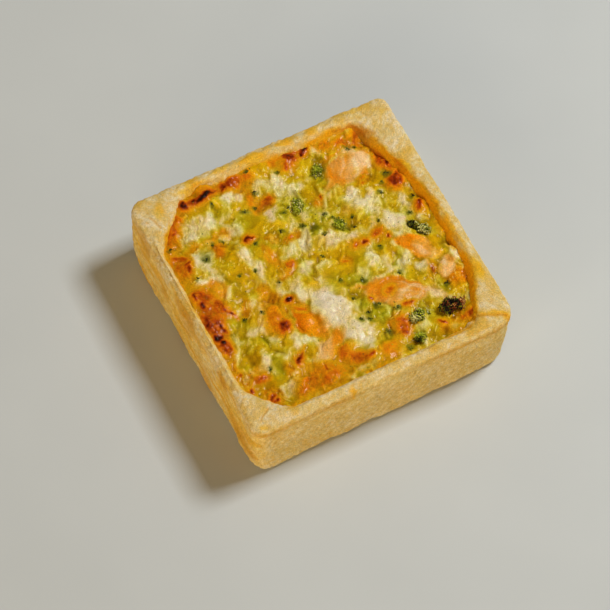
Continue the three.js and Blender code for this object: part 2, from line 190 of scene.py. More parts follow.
# How finely the pieces are meshed.
PASTRY_RAYS_PER_SIDE = 210
RING_SPACING = 0.34
FILLING_SQUARES = 330
SALMON_SUBDIVISIONS = 5
BUD_SUBDIVISIONS = 2


def rgb(*values):
    return np.array(values, float)


def chance(index, seed):
    """Repeatable chance from 0 to 1."""
    value = np.sin(index * 127.1 + seed * 311.7) * 43758.5453
    return value - np.floor(value)


def clamped(value):
    return np.clip(value, 0, 1)


def rising(value, start, end):
    """From 0 where a value is at the start to 1 where it is at the end."""
    return clamped((value - start) / (end - start))


def smooth(t):
    return t * t * t * (t * (t * 6 - 15) + 10)


def bell(distance):
    """1 in the middle, fading out within about two units."""
    return np.exp(-distance ** 2)


def spot(x, y, centre_x, centre_y, radius):
    """A soft round spot in plan: 1 in its middle."""
    return bell(np.hypot(x - centre_x, y - centre_y) / radius)


def between(a, b, share):
    """From a to b by a share, for plain numbers."""
    return a + (b - a) * share


def mix(a, b, share):
    """From a to b by a share, for colours."""
    return a + (b - a) * np.asarray(share)[..., None]


def noise(x, y, seed):
    """Smooth noise over a plane, from -1 to 1, with bumps about one unit apart."""
    column = np.floor(x)
    row = np.floor(y)

    def corner(right, up):
        return chance(column + right + 57 * (row + up), seed)

    across = smooth(x - column)
    near = between(corner(0, 0), corner(1, 0), across)
    far = between(corner(0, 1), corner(1, 1), across)
    return 2 * between(near, far, smooth(y - row)) - 1


def rough(x, y, seed, octaves=3):
    """Noise with finer and finer noise on top."""
    scales = [2 ** octave for octave in range(octaves)]
    layers = [noise(x * scale, y * scale, seed + i) / scale for i, scale in enumerate(scales)]
    return sum(layers) / 1.5


def noise_in_space(points, size, seed):
    """Smooth noise through space, with bumps about one size apart."""
    x, y, z = (points / size).T
    layer = np.floor(z)
    low = noise(x + 31.7 * layer, y + 17.3 * layer, seed)
    high = noise(x + 31.7 * (layer + 1), y + 17.3 * (layer + 1), seed)
    return between(low, high, smooth(z - layer))


def specks(points, size, seed, gain, start):
    """Shares from 0 to 1 that vary through space, round a start."""
    return clamped(start + gain * noise_in_space(points, size, seed))


def turned(dx, dy, degrees):
    """Offsets in plan as distances along and across a direction."""
    cos, sin = math.cos(math.radians(degrees)), math.sin(math.radians(degrees))
    return dx * cos + dy * sin, dy * cos - dx * sin


def to_linear(colour):
    """Screen values from 0 to 255 as linear light from 0 to 1."""
    share = clamped(np.asarray(colour, float) / 255)
    return np.where(share < 0.04045, share / 12.92, ((share + 0.055) / 1.055) ** 2.4)


def in_oval(mark, x, y, bend=0):
    """Plan points along and across an oval that may bend: 1 where its edge is."""
    centre_x, centre_y, length, width, turn = mark[:5]
    along, across = turned(x - centre_x, y - centre_y, turn)
    along = 2 * along / length
    return along, 2 * (across - bend * (1 - along ** 2)) / width


def oval_distance(mark, x, y, bend=0):
    """How far plan points are from an oval's middle: 1 on its edge."""
    return np.hypot(*in_oval(mark, x, y, bend))


def soft_outline(corners):
    """A closed outline through corners given as (x, y, rounding)."""
    t = np.linspace(0, 1, CORNER_STEPS + 1)[:, None]
    curves = []
    for index, (x, y, rounding) in enumerate(corners):
        here = np.array((x, y), float)
        back = corners[index - 1][:2] - here
        ahead = corners[(index + 1) % len(corners)][:2] - here
        start = here + back / np.linalg.norm(back) * rounding
        end = here + ahead / np.linalg.norm(ahead) * rounding
        curves.append((1 - t) ** 2 * start + 2 * t * (1 - t) * here + t ** 2 * end)
    return np.concatenate(curves)


def reach_of(outline):
    """A function that gives how far from the middle a closed outline lies at an angle."""
    steps = np.roll(outline, -1, axis=0) - outline
    share = np.linspace(0, 1, SHARES_PER_STEP, endpoint=False)[:, None, None]
    x, y = (outline + share * steps).reshape(-1, 2).T
    angles = np.arctan2(y, x)
    order = np.argsort(angles)
    angles = angles[order]
    radii = np.hypot(x, y)[order]
    return lambda angle: np.interp(angle, angles, radii, period=2 * math.pi)


def rim_inner_outline():
    """The inner edge of the rim: four sides, with a fold across each corner."""
    left = LEFT + RIM_LEFT
    right = RIGHT - RIM_RIGHT
    front = FRONT + RIM_FRONT
    far = FAR - RIM_FAR
    corners = [
        (left + FOLD_FRONT_LEFT[0], front),
        (right - FOLD_FRONT_RIGHT[0], front),
        (right, front + FOLD_FRONT_RIGHT[1]),
        (right, far - FOLD_FAR_RIGHT[1]),
        (right - FOLD_FAR_RIGHT[0], far - 1),
        (left + FOLD_FAR_LEFT[0], far),
        (left, far - FOLD_FAR_LEFT[1]),
        (left, front + FOLD_FRONT_LEFT[1]),
    ]
    return soft_outline([(x, y, INNER_ROUNDING) for x, y in corners])


rim_reach = reach_of(soft_outline(RIM_CORNERS))
base_reach = reach_of(soft_outline(BASE_CORNERS))
inner_reach = reach_of(rim_inner_outline())


def wall_inset(angle, height):
    """How far inside the rim's inner edge the wall stands at a height."""
    x = np.cos(angle)
    sideways = np.where(x > 0, LEAN_RIGHT, LEAN_LEFT)
    lengthways = np.where(np.sin(angle) > 0, LEAN_FAR, LEAN_FRONT)
    lean = between(lengthways, sideways, smooth(x * x))
    over_knee = lean * rising(height, SHELL_HEIGHT - INNER_EDGE[1][1], KNEE_HEIGHT)
    to_heel = HEEL_INSET * rising(height, KNEE_HEIGHT, HEEL_HEIGHT)
    at_floor = rising(height, HEEL_HEIGHT, FLOOR_THICKNESS)
    return over_knee + to_heel + (FLOOR_INSET - HEEL_INSET) * at_floor


def filling_height(x, y):
    """The filling's surface before its curds and shreds."""
    broad = BROAD_RELIEF[0] * noise(x / BROAD_RELIEF[1], y / BROAD_RELIEF[1], 21)
    curds = CURD_RELIEF[0] * noise(x / CURD_RELIEF[1], y / CURD_RELIEF[1], 22)
    nearest = np.min([oval_distance(piece, x, y) for piece in PIECES], axis=0)
    height = FILLING_LEVEL + FILLING_SLOPE * x
    height = height + (broad + curds) * smooth(clamped(nearest - 0.3))
    for *lump, rise in LUMPS:
        height = height + rise * spot(x, y, *lump)
    edge = np.maximum(np.abs(x), np.abs(y)) / HALF_WIDTH
    return height + EDGE_RISE * smooth(rising(edge, 0.7, 0.95))


# Colours of the custard by the level of the cheese on it, from bare to thick: plain,
# stained green by the broccoli, and stained orange by the fish.
CHEESE_LEVELS = [0, 0.2, 0.38, 0.52, 0.66, 0.8, 1]
PLAIN = rgb(
    (146, 102, 4), (190, 142, 4), (216, 170, 4), (220, 184, 28), (226, 200, 106),
    (236, 217, 160), (246, 233, 200),
)
GREENISH = rgb(
    (96, 92, 8), (134, 126, 8), (164, 156, 10), (192, 184, 34), (214, 208, 98), (228, 221, 152),
    (242, 234, 192),
)
ORANGE = rgb(
    (170, 78, 4), (212, 114, 4), (230, 140, 6), (234, 162, 20), (230, 176, 84), (234, 198, 138),
    (242, 224, 190),
)
WHITE_CURD = rgb(246, 234, 198)
# Pale threads of cheese, their colour partly a painted highlight.
THREAD_AND_HIGHLIGHT = rgb(250, 232, 158)
SAUCE = rgb(243, 229, 208)
PINK_CREAM = rgb(230, 194, 152)
# Painted shade for the thin creases, also the dark colour of thin stems.
CREASE_SHADE_AND_STEM_DARK = rgb(118, 88, 6)
DARK_GREEN = rgb(84, 88, 16)

# The level from which thick cheese evens out.
CREAMY_FROM = 0.66

# Browning: the heat at which it starts, then the heat that each colour takes.
BROWNING_STARTS = 0.04
BROWNING = [
    (0.16, rgb(221, 160, 12)), (0.32, rgb(228, 145, 10)), (0.46, rgb(214, 119, 10)),
    (0.6, rgb(193, 91, 7)), (0.74, rgb(160, 61, 5)), (0.88, rgb(124, 38, 4)),
    (1, rgb(78, 20, 3)), (1.16, rgb(36, 15, 7)),
]

# Marks on the top, each (x, y, length, width, turn, strength).
# First where the curds are thick and pale.
PALE_ZONES = [
    (-27.8, 26.4, 9, 6.5, 10, 1), (-21.5, 27.2, 8, 5, -20, 1), (-16.2, 22.3, 4.5, 6, 0, 0.8),
    (-27, 21, 9, 2.4, 0, 0.4), (-29.6, 15.5, 8, 5.5, 75, 0.85), (-30.5, 10.2, 8, 4, 5, 1),
    (-18, 12.4, 5, 5, 0, 0.8), (-17.6, 17, 3, 6, 10, 0.7), (-12.2, 31.8, 5.5, 4, 10, 1),
    (-14.5, 28, 5, 4, 10, 0.5), (-5, 21, 6, 4, 60, 0.8), (-2.2, 17, 6, 5, 0, 0.8),
    (-3, 31, 5, 6, 60, 0.7), (2, 30, 6, 5, 70, 0.7), (-4.8, 8.2, 7, 4.5, 20, 0.8),
    (-4, 1.8, 7, 4, 30, 0.8), (-16.5, 6, 8, 4, 65, 0.7), (-22, -1.5, 7, 4, 40, 0.6),
    (-9, -2.8, 4.5, 3, 70, 1), (-7, -7, 10, 3.6, -55, 1), (-3.6, -14.5, 16, 9, 96, 1),
    (-1.2, -23, 9, 8, 90, 1), (1, -28, 6, 5, 60, 0.85), (-1.6, -4.4, 8, 3, 62, 0.8),
    (0.4, 10.2, 9, 3, 62, 1), (2.4, 15.4, 4, 3, 0, 0.4), (8.4, 6.4, 7, 5, 10, 0.95),
    (19.6, 17.2, 6, 4.5, 0, 1), (20.5, 12.2, 9, 6, 20, 0.85), (17, 22.6, 7, 4.5, -20, 0.85),
    (12.5, 20, 7, 4, 60, 0.8), (25.4, 4.4, 6, 6, 90, 1), (23, 8, 6, 4, 0, 0.7),
    (31, 9.4, 7, 4, 70, 0.8), (5.4, 26.3, 6, 3, -10, 0.9), (5, 36, 3, 3, 0, 0.3),
    (17.8, -7.2, 6.5, 4, 85, 1), (13.6, -4, 7, 4, 70, 1), (17, 1, 5, 3, 30, 0.6),
    (10, -7, 4, 3.4, 80, 0.7), (10.5, -11.5, 9, 2.6, -12, 0.6), (22, -2.8, 5, 2.4, 85, 0.8),
    (21.8, -9.5, 7, 5, 60, 0.7), (25.6, -12.6, 5, 2.8, 95, 0.9), (26, -21, 6, 3.4, 80, 0.85),
    (-27, -19, 8, 3, 75, 0.9), (-27.5, -11, 8, 4, 60, 0.5), (-22.3, -8, 9, 2.6, 80, 0.8),
    (-17, -17.8, 5, 4.5, 0, 1), (-14.4, -19.8, 4.5, 4, 0, 1), (-20.5, -20.5, 6, 3.4, 60, 0.6),
    (-22, -14.6, 5, 3, 0, 0.4), (-26.6, -31, 4.5, 5, 0, 0.9), (-8.6, -34.7, 4.5, 2.8, 5, 1),
    (-2.7, -34.4, 3, 3.4, 0, 1), (15.4, 34.4, 4.4, 4, 20, 0.9), (-33, -13.5, 9, 2, 66, 0.8),
    (17.6, -30.6, 4, 3, 60, 0.8), (4, -24.6, 4, 3.4, 0, 0.8), (-13.6, -3, 4, 4, 0, 0.7),
    (33.6, 1.6, 6, 2, 80, 0.7), (30.6, -12, 3, 2.4, 0, 0.6), (35.6, -13.6, 5, 2, 100, 0.7),
    (24, 14.6, 5, 4, 0, 0.5), (3.5, -2, 4, 5, 60, 0.35),
]

# Where a smooth pale sauce covers the curds.
SAUCE_ZONES = [
    (-2.8, -13, 17, 8, 97, 0.9), (0.4, -24.4, 11, 7.5, 60, 0.8), (-6.8, -7.6, 7, 3.4, -55, 0.8),
    (-2.2, -5.6, 8, 3, 62, 0.8), (-29.6, 15, 6, 3, 75, 0.5), (25.4, 4.4, 5, 5, 90, 0.5),
]

# Where the custard is smooth, yellow and nearly bare.
GOLD_ZONES = [
    (-22.3, 5.5, 14, 7.5, 80, 1), (-23, 13, 6, 7, 0, 0.9), (-21.5, 32, 12, 3.6, -8, 1),
    (-10.8, 20.6, 9, 6, 30, 0.9), (-7.5, 18.6, 9, 3.4, -15, 1), (-15, 17, 6, 6, 30, 0.9),
    (-9, 28.5, 4, 8, 80, 0.7), (-6, -3.2, 5, 6, 0, 0.9), (6.5, -2.5, 10, 8, 0, 0.95),
    (2, -5, 6, 7, 0, 0.8), (17.3, 10.2, 5.5, 4.5, 0, 0.9), (-26.5, -26.6, 9, 3.4, -10, 0.9),
    (-29.2, -7, 3.8, 3, 60, 1), (-34, -18, 5, 4, 80, 0.9), (-21, -27, 8, 4, 0, 0.6),
    (4, 2.6, 8, 4, 0, 0.9), (22.6, -13, 4.6, 3, 90, 1), (20, -32, 8, 6, 0, 0.9),
    (-3.2, -28.4, 6, 4, 0, 1), (9, 33, 8, 4, 0, 0.8), (8, 29.5, 7, 4, 0, 0.7),
    (8.5, 22, 6, 4, 60, 0.9), (28, 17.5, 7, 4, 40, 0.9), (32, -9.5, 6, 6, 0, 0.9),
    (-30, 22.4, 12, 3, 3, 0.9), (-12.4, 10.5, 5, 12, 5, 0.8), (4, -31.5, 9, 6, 20, 0.9),
    (11.4, -4.8, 2.8, 2.2, 30, 1), (12.8, -7.4, 4, 1.8, 30, 1), (20, -4.3, 2.8, 2.4, 0, 1),
    (-36, 11.5, 4, 4, 0, 0.8), (-2.2, 36, 8, 4, 0, 0.9), (-31, -16.5, 7, 3, 0, 0.4),
    (-24, -23.6, 3, 5, 30, 0.7), (31.5, -24.6, 5, 3, -20, 1), (27, 34.6, 6, 3, -20, 0.6),
]

# Where the custard is orange from the fat of the fish.
ORANGE_ZONES = [
    (-23.4, 17.6, 5, 4, 20, 0.8), (-19.3, 22.6, 4.6, 3, 20, 0.7), (-23.5, 21.6, 4, 2, 0, 0.7),
    (-30, 22, 8, 2.4, 0, 0.5), (-18.5, 0, 5, 4.6, 60, 0.7), (-25, -2.8, 4.4, 4, 0, 0.6),
    (-9.6, 2.6, 7, 3, 45, 0.8), (-3.4, 12, 6, 3, 12, 0.8), (-8, 14.4, 3.4, 3, 0, 0.5),
    (-11.4, 9, 9, 3, 98, 0.8), (-6, 25.6, 7, 3.4, 20, 0.8), (-19, -7.6, 12, 8, 72, 0.9),
    (-9.6, -24.6, 11, 7, 35, 0.8), (-6.4, -28.6, 6, 5, 60, 0.9), (-15.5, -32, 17, 9, -3, 1),
    (-32.4, -23, 7, 5, 5, 0.8), (-31.6, -31.6, 6, 7, 0, 1), (-36.6, -17, 14, 2.6, 93, 0.9),
    (-35.6, -25, 3, 5, 20, 0.8), (12, -27.6, 8, 7, 0, 0.9), (5.2, -33.5, 8, 6, 30, 0.8),
    (13, 2, 7, 4, -30, 0.7), (15, 13.4, 3, 4, 0, 0.5), (9, 19.5, 5, 2.6, 55, 0.7),
    (20, 2.4, 4, 5, 0, 0.8), (24, 20, 5, 4, 50, 0.6), (7, 34.6, 8, 4, 60, 0.5),
    (18.6, 36, 6, 5, 0, 0.9), (25, 33.4, 9, 5, -10, 0.9), (29.6, 33.6, 8, 4, 72, 0.9),
    (31.8, 26, 13, 5, 96, 1), (33.4, 18, 8, 5, 80, 0.9), (12, 38, 8, 2.6, 0, 0.8),
    (-33, 29, 12, 6, 55, 1), (-35.2, 17, 10, 4.6, 88, 0.9), (-34.6, 7.6, 7, 5, 0, 0.9),
    (-31, 5.4, 8, 6.4, 55, 0.9), (-31.4, 0.6, 7, 4, -55, 0.9), (-37, -4, 18, 4, 90, 1),
    (-20, 37, 16, 3, 5, 0.9), (-8, 34.6, 9, 5, 0, 0.8), (34.6, 5.2, 5, 5, 50, 0.9),
    (33.4, -20, 7, 7, 60, 0.9), (28.6, -33, 7, 4, 20, 0.8), (7.6, -1, 3, 3, 60, 0.4),
    (28.6, -12.5, 10, 2.4, 70, 0.6), (-22, -25, 6, 2.6, 40, 0.5), (-3.6, -31.4, 6, 3, -20, 0.8),
    (22.6, -33.4, 5, 3, -50, 0.6),
]

# Where the broccoli has stained the custard green.
GREEN_ZONES = [
    (5.5, 12.6, 12, 6, 15, 1), (2.4, 20.5, 9, 7, 80, 0.9), (-12, 23.4, 8, 5, 10, 0.9),
    (8.6, -20.6, 10, 8, -20, 1), (5, -18, 5, 7, 0, 0.8), (0.8, -7, 8, 5, 20, 0.8),
    (7.8, -9, 7, 5, 0, 0.6), (11.4, 9.4, 5, 5, 0, 1), (13.8, 28.4, 8, 5, 62, 1),
    (-27, -13.6, 9, 4, 0, 0.6), (-28.6, 17, 5, 4, 70, 0.7), (9, 16.5, 6, 4, 30, 0.6),
    (20, 9.4, 6, 3, 0, 0.7), (29.4, 5, 7, 4, 80, 0.8), (28.8, -20.6, 5, 4, 60, 1),
    (21, -9, 7, 3, 60, 0.8), (17.6, 0, 5, 3, 80, 0.9), (-1.8, 20.4, 5, 4, 0, 0.8),
    (14.6, -32.4, 4, 4, 0, 0.9), (20, -28, 5, 4, 20, 0.9), (-4, -14.6, 3, 3, 0, 0.4),
    (-23.5, -20.5, 6, 5, 0, 0.8), (6.5, -29.6, 5, 5, 0, 0.7), (-3.6, 2.8, 4, 3, 0, 0.7),
    (-29, -7, 5, 4, 0, 0.6), (-21.3, -5.6, 3, 4, 0, 0.6), (3, 26, 6, 4, 0, 0.5),
    (26, 11, 4, 6, 0, 0.5), (-25, -24.4, 6, 4, 20, 0.6), (-13.4, 15, 3, 3, 0, 0.7),
    (2.4, -21.6, 5, 4, 0, 0.8),
]

# Browned and charred spots. The strength is the heat at the middle.
TOASTED = [
    (-26, 35, 3.4, 3, 0, 0.96), (-19.8, 35.3, 8.6, 2.2, 12, 1.06), (-12.6, 36, 3, 3, 0, 0.84),
    (-9.8, 36, 6, 3.4, 0, 0.66), (-5.4, 35.2, 3, 2, 0, 0.46), (-3.5, 26, 3.8, 2.6, 20, 0.62),
    (-6.6, 25, 5, 2.4, 10, 0.4), (-7.4, 29, 2.6, 6, 0, 0.34), (-33, 29.4, 11, 4.4, 55, 0.5),
    (-32.2, 28.6, 4, 2.4, 60, 0.6), (-29.6, 31.6, 2.4, 3.6, 60, 0.5),
    (-34.4, 20.4, 4.6, 2.8, -15, 0.56), (-35.6, 17, 8, 3.4, 88, 0.44),
    (-33.2, 17.6, 4, 1.8, 60, 0.66), (-33.6, 15.2, 2.6, 1.8, 60, 0.8),
    (-14, 17.3, 3.6, 1.5, 22, 0.98), (-11.2, 9, 7, 2, 95, 0.3), (-3.4, 12, 2.6, 1.8, 10, 0.42),
    (-7.8, 4, 3, 2, 45, 0.56), (-35, 5.4, 6, 5.4, 0, 0.62), (-36.6, 5.4, 1.8, 3, 0, 0.9),
    (-36.2, 2.8, 1.6, 1.8, 0, 1.06), (-31.4, 1, 5.8, 3.4, -58, 0.66),
    (-29.8, -2, 4.6, 1, -62, 1.04), (-36, -3.6, 11, 6.4, 88, 0.62),
    (-36.8, -3, 5, 2.4, 88, 0.76), (-34, 1, 8, 5, -60, 0.5), (-33.3, -5.2, 4, 1.2, 100, 1),
    (-35.4, -10, 1.4, 0.9, 60, 1.3), (-37, -7.2, 1.2, 0.8, 0, 1.3),
    (-36.3, -8.3, 3.6, 1.9, 15, 1.26), (-36.2, -11.4, 6, 4.4, 85, 0.66),
    (-18.4, 0, 4, 3, 80, 0.24), (-18.7, -13.3, 4.6, 4.2, 30, 0.8), (-19.4, -9.4, 10, 5, 72, 0.4),
    (-11, -9.8, 5, 1.8, -55, 0.6), (-12.9, -6.3, 3, 1.8, 10, 1.34),
    (-31.4, -24.4, 5, 2.8, 5, 0.54), (-35.4, -26, 1.8, 1.3, -40, 0.82),
    (-36.3, -21.2, 1.2, 1.2, 0, 0.74), (-31.6, -31.6, 3, 4, 0, 0.5),
    (-31.9, -31.4, 1.2, 1.4, 0, 0.98), (-31, -32.9, 1.8, 1, -20, 1),
    (-18.6, -24, 6, 1.3, 48, 0.84), (-15.4, -31.6, 15, 7, -4, 0.32), (-21, -33, 7, 4, 20, 0.4),
    (-14.6, -33.4, 9, 3, 12, 0.46), (-19.6, -30.6, 6, 3, 0, 0.42),
    (-13.9, -29.6, 1.8, 0.6, 30, 0.98), (-14.2, -30.6, 1.6, 0.6, 95, 0.98),
    (-7, -27.8, 5, 3.4, 45, 0.5), (-4.6, -31, 7, 2.6, -30, 0.5),
    (-1.3, -32.8, 2.2, 1, -15, 0.86), (8.5, 36.4, 4.4, 3.6, 0, 0.84),
    (12.9, 36.4, 2.8, 1.5, 35, 1.1), (11.6, 38, 6.4, 2.4, 5, 0.56), (6.6, 34, 4.4, 2, 60, 0.5),
    (5.8, 32.5, 1.4, 1.5, 0, 0.66), (19, 36, 4, 4, 0, 0.34), (24.6, 33.8, 6, 3, 0, 0.46),
    (23.3, 33.8, 1, 1, 0, 0.86), (29.4, 34, 6, 2.4, 72, 0.56), (33, 24.6, 12, 4.4, 96, 0.6),
    (33.2, 27.6, 4.4, 3, 96, 0.72), (33.6, 22, 4.4, 3, 96, 0.76), (33.2, 24, 4, 2, 80, 0.6),
    (32.4, 16, 5.4, 5, 60, 0.7), (31.8, 15.4, 3.4, 2, 20, 0.84),
    (33.2, 17.8, 3.4, 1.6, 60, 0.84), (34.5, 5.4, 3.2, 2.8, 50, 0.8), (20, 3, 3, 3, 0, 0.5),
    (21.7, 0, 1.7, 1.5, 0, 0.94), (14.7, 1, 2.4, 2, 0, 0.84), (12, 2.2, 3, 3, 0, 0.42),
    (12.2, 1.8, 0.9, 0.9, 0, 0.8), (10.8, 21.3, 1.6, 0.8, 60, 1.06),
    (10.3, 20.1, 0.8, 0.6, 0, 0.96), (7.4, -1, 1.4, 2, 60, 0.5), (12, -27.6, 5, 4.6, 0, 0.5),
    (11.4, -29, 3, 2.2, 0, 0.7), (14, -16, 3.4, 2.8, 0, 0.52), (12.7, -17.2, 0.8, 0.8, 0, 0.8),
    (8.6, -15.8, 2, 0.9, -35, 1), (15.6, -22, 2.6, 1.6, -20, 0.6),
    (17.6, -22.8, 2.4, 1.1, 10, 0.86), (5.2, -33, 6.4, 4.6, 30, 0.38),
    (23, -32.2, 3.2, 1, -55, 0.84), (31.2, -33.4, 2.8, 2, 20, 0.74), (29, -33, 4, 2, 0, 0.5),
    (28.2, -15.2, 3.4, 0.8, 75, 0.6), (23.8, 18.3, 1.1, 0.9, 0, 0.7),
    (24.2, 20.4, 3, 1.4, 40, 0.4), (-4.6, 37, 1.8, 1.5, 0, 0.6), (36, -10.8, 0.8, 0.8, 0, 0.7),
    (3.6, 37, 4, 2.6, 0, 0.36),
]

# Thin creases between the curds and a few thin stems, sunk a little and darkened: painted shade
# in the creases, the stems' own dark colour: (x, y, length, width, turn, strength, bend).
CREASES_IN_TOP = [
    (1.3, 9.4, 6.4, 0.5, 66, 0.9, 0.3), (0.3, 2.4, 3, 0.7, 70, 0.9, 0.2),
    (-1.2, 6, 4, 0.5, 75, 0.6, -0.3), (-5.8, 24.4, 5, 0.7, 12, 0.7, 0.2),
    (-12.6, 0.6, 3.6, 0.8, 80, 0.6, 0), (-25.6, 10.6, 6, 0.6, 92, 0.6, 0.2),
    (28.4, -14.4, 5, 0.5, 74, 0.8, 0.2), (16, 29.4, 6, 0.6, 55, 0.5, 0.2),
    (21.4, -9.6, 6, 0.5, 62, 0.7, -0.2), (-24.6, -28.4, 3, 0.5, 30, 0.9, 0),
    (-5.5, -25.6, 6, 0.5, 20, 0.4, 0.3), (10.8, 23.4, 4, 0.5, 62, 0.6, 0),
    (3.9, 23.2, 4.4, 0.8, 80, 0.8, -0.8), (34.6, 12.4, 3.6, 0.5, -55, 0.7, 0),
    (-23.2, -20.2, 3.4, 0.6, -32, 0.9, 0.5), (29.4, -20.6, 2.4, 0.5, -60, 0.8, 0.4),
]

# Pale strands of melted cheese that lie on top, in the same order of values. The short pale marks
# on the browned spots are painted highlights.
STRANDS = [
    (-12.8, -25, 8, 1.5, 66, 0.8, 0.5), (-14.2, -11, 6.4, 1.1, 92, 0.8, -0.4),
    (-2, -4.4, 6, 1.2, 62, 0.9, 0.5), (-27.6, 4.8, 6, 2.4, 62, 1, -0.8),
    (0.6, 6.4, 5, 1.3, 62, 0.9, 0.2), (35.8, 13.6, 6.6, 0.7, 82, 0.8, 0.2),
    (33.6, 26.8, 4, 0.7, 75, 0.6, 0.2), (28.8, -9, 4.6, 1.3, 55, 0.9, 0.4),
    (12, 20, 6.6, 0.8, 62, 0.6, 0.2), (13.8, 20.4, 6, 0.7, 60, 0.6, 0.1),
    (10.6, 17.6, 5, 0.7, 62, 0.5, 0.1), (-15.4, 6.8, 6, 0.9, 68, 0.5, 0.2),
    (-18.6, 3.4, 5, 0.6, 62, 0.8, 0.2), (-32.6, -13.6, 8, 0.9, 66, 0.6, 0.3),
    (-30.8, -9.4, 4, 0.8, 62, 0.6, 0.2), (-22.2, -27.2, 3.4, 1, 40, 0.8, 0.1),
    (-26.8, -25, 4, 0.7, 55, 0.6, 0.1), (16.6, -33.2, 2.8, 1, 50, 0.7, 0.1),
    (30.6, -11, 3.2, 0.8, 55, 0.7, 0.1), (-29.4, 31, 3.2, 0.7, 75, 0.7, 0.2),
    (-24.8, 36.2, 1.6, 0.7, 0, 0.7, 0), (-16.3, 36, 1.2, 1, 0, 0.7, 0),
    (-10.2, 37.6, 2.4, 1, 10, 0.7, 0.2), (-7.9, 36.9, 2, 0.8, -40, 0.7, 0.1),
    (31.6, 8.6, 4.6, 0.7, 70, 0.6, 0.2), (-37, -3, 3, 0.5, 80, 0.4, 0.2),
    (-36, -12.4, 1.4, 0.7, 60, 0.6, 0), (-35.4, 7, 1.2, 0.7, 90, 0.6, 0),
    (-33.2, 15.8, 1.8, 0.5, 70, 0.6, 0), (-17.6, 11, 2.4, 0.6, -55, 0.7, 0),
    (-16.2, 11.2, 2, 0.5, 60, 0.7, 0),
]

# Dark crumbs of bud that lie in the top: (x, y, size).
CRUMBS = [
    (4.6, -21.3, 0.9), (5.2, -19.2, 0.7), (9, -18.5, 0.9), (3.3, -13.3, 0.6), (7.5, -27.3, 1.1),
    (10.3, -35.2, 0.9), (8.7, -8.7, 0.8), (3, -6.5, 0.7), (-21.3, -5.6, 0.7), (-27, -5.3, 0.7),
    (31, 19, 0.9), (26.8, 14.1, 0.7), (31, 4, 0.8), (-28, 17, 0.8), (-35.5, 24.5, 0.7),
    (-18.6, 31.7, 0.6), (-5, 37, 0.8), (-6, 30.4, 0.7), (-7.8, 26, 0.6), (25, 31.3, 0.8),
    (27.3, 31.5, 0.5), (14.8, 7.5, 0.5), (8.8, 14.7, 0.7), (1.7, 14.3, 0.9), (-22, 7.3, 0.5),
    (-17.3, 6.7, 0.6), (11.8, 11.9, 0.8), (-33, 11.7, 0.5), (-13.2, 15, 0.7), (20.4, -27.3, 0.4),
    (13.2, -22, 0.8), (2.2, -20.8, 0.7), (-10.8, 26.3, 0.8), (3.2, 33.2, 0.6), (-24, 20.2, 0.5),
    (-21, 20, 0.6), (21.7, 5.8, 0.5), (34.8, 9.3, 0.5), (15.7, 10.4, 0.6), (2.4, 2.8, 0.6),
    (5.7, 8.2, 0.5), (29.4, -20.8, 0.7), (19, -12.2, 0.7), (-27.7, -22.8, 0.5),
    (-12.6, 0.6, 0.4), (18, -1.6, 0.6), (10.6, 12.6, 0.5), (-1.2, 20.3, 0.5), (0.5, 21.2, 0.5),
    (-4.8, 15.4, 0.5), (28.8, 17.2, 0.5),
]

# Curds and shreds: how far out they lie, how far they turn from the streaks, then for each
# kind its (count, shortest, longest, narrowest, widest, lift).
CURDS_REACH = 38
CURD_SWAY = 34
CURD_SEED = 11
CURD_KINDS = [
    (200, 1.6, 3.6, 1.2, 2.4, 0.4),
    (560, 1.6, 4.4, 0.45, 1, 0.35),
    (1800, 0.6, 1.5, 0.4, 0.9, 0.3),
]

# Fine threads of cheese in the same way; their pale colour is partly painted highlight.
THREADS = 2200
THREAD_WIDTH = 0.34
THREAD_LIFT = 0.2
THREAD_SWAY = 26
THREAD_SEED = 12

# Salmon looks in the order of the nodes: its pale flesh, its deep flesh, the lines between
# its flakes, then how far apart these are, their turn and how much of them shows, and last
# the direction in which the deep flesh lies and its share.
SALMON_LOOKS = [
    (rgb(226, 162, 66), rgb(222, 122, 4), rgb(240, 194, 124), 2.6, 30, 0.85, 92, 0.5),
    (rgb(232, 188, 122), rgb(224, 134, 18), rgb(246, 218, 166), 2.8, 66, 0.9, 176, 0.5),
    (rgb(244, 168, 8), rgb(224, 112, 2), rgb(246, 186, 60), 8, 90, 0.15, 120, 0.5),
    (rgb(238, 176, 72), rgb(236, 138, 4), rgb(242, 202, 134), 4.4, 58, 0.4, 140, 0.75),
    (rgb(206, 132, 16), rgb(184, 92, 6), rgb(222, 158, 44), 7, 60, 0.2, 90, 0.5),
    (rgb(236, 184, 108), rgb(226, 142, 20), rgb(242, 206, 140), 4, 60, 0.5, 10, 0.5),
    (rgb(236, 170, 30), rgb(230, 134, 6), rgb(242, 194, 84), 7, 60, 0.2, 180, 0.55),
    (rgb(238, 200, 144), rgb(226, 146, 30), rgb(244, 222, 184), 3, 60, 0.5, 230, 0.3),
]

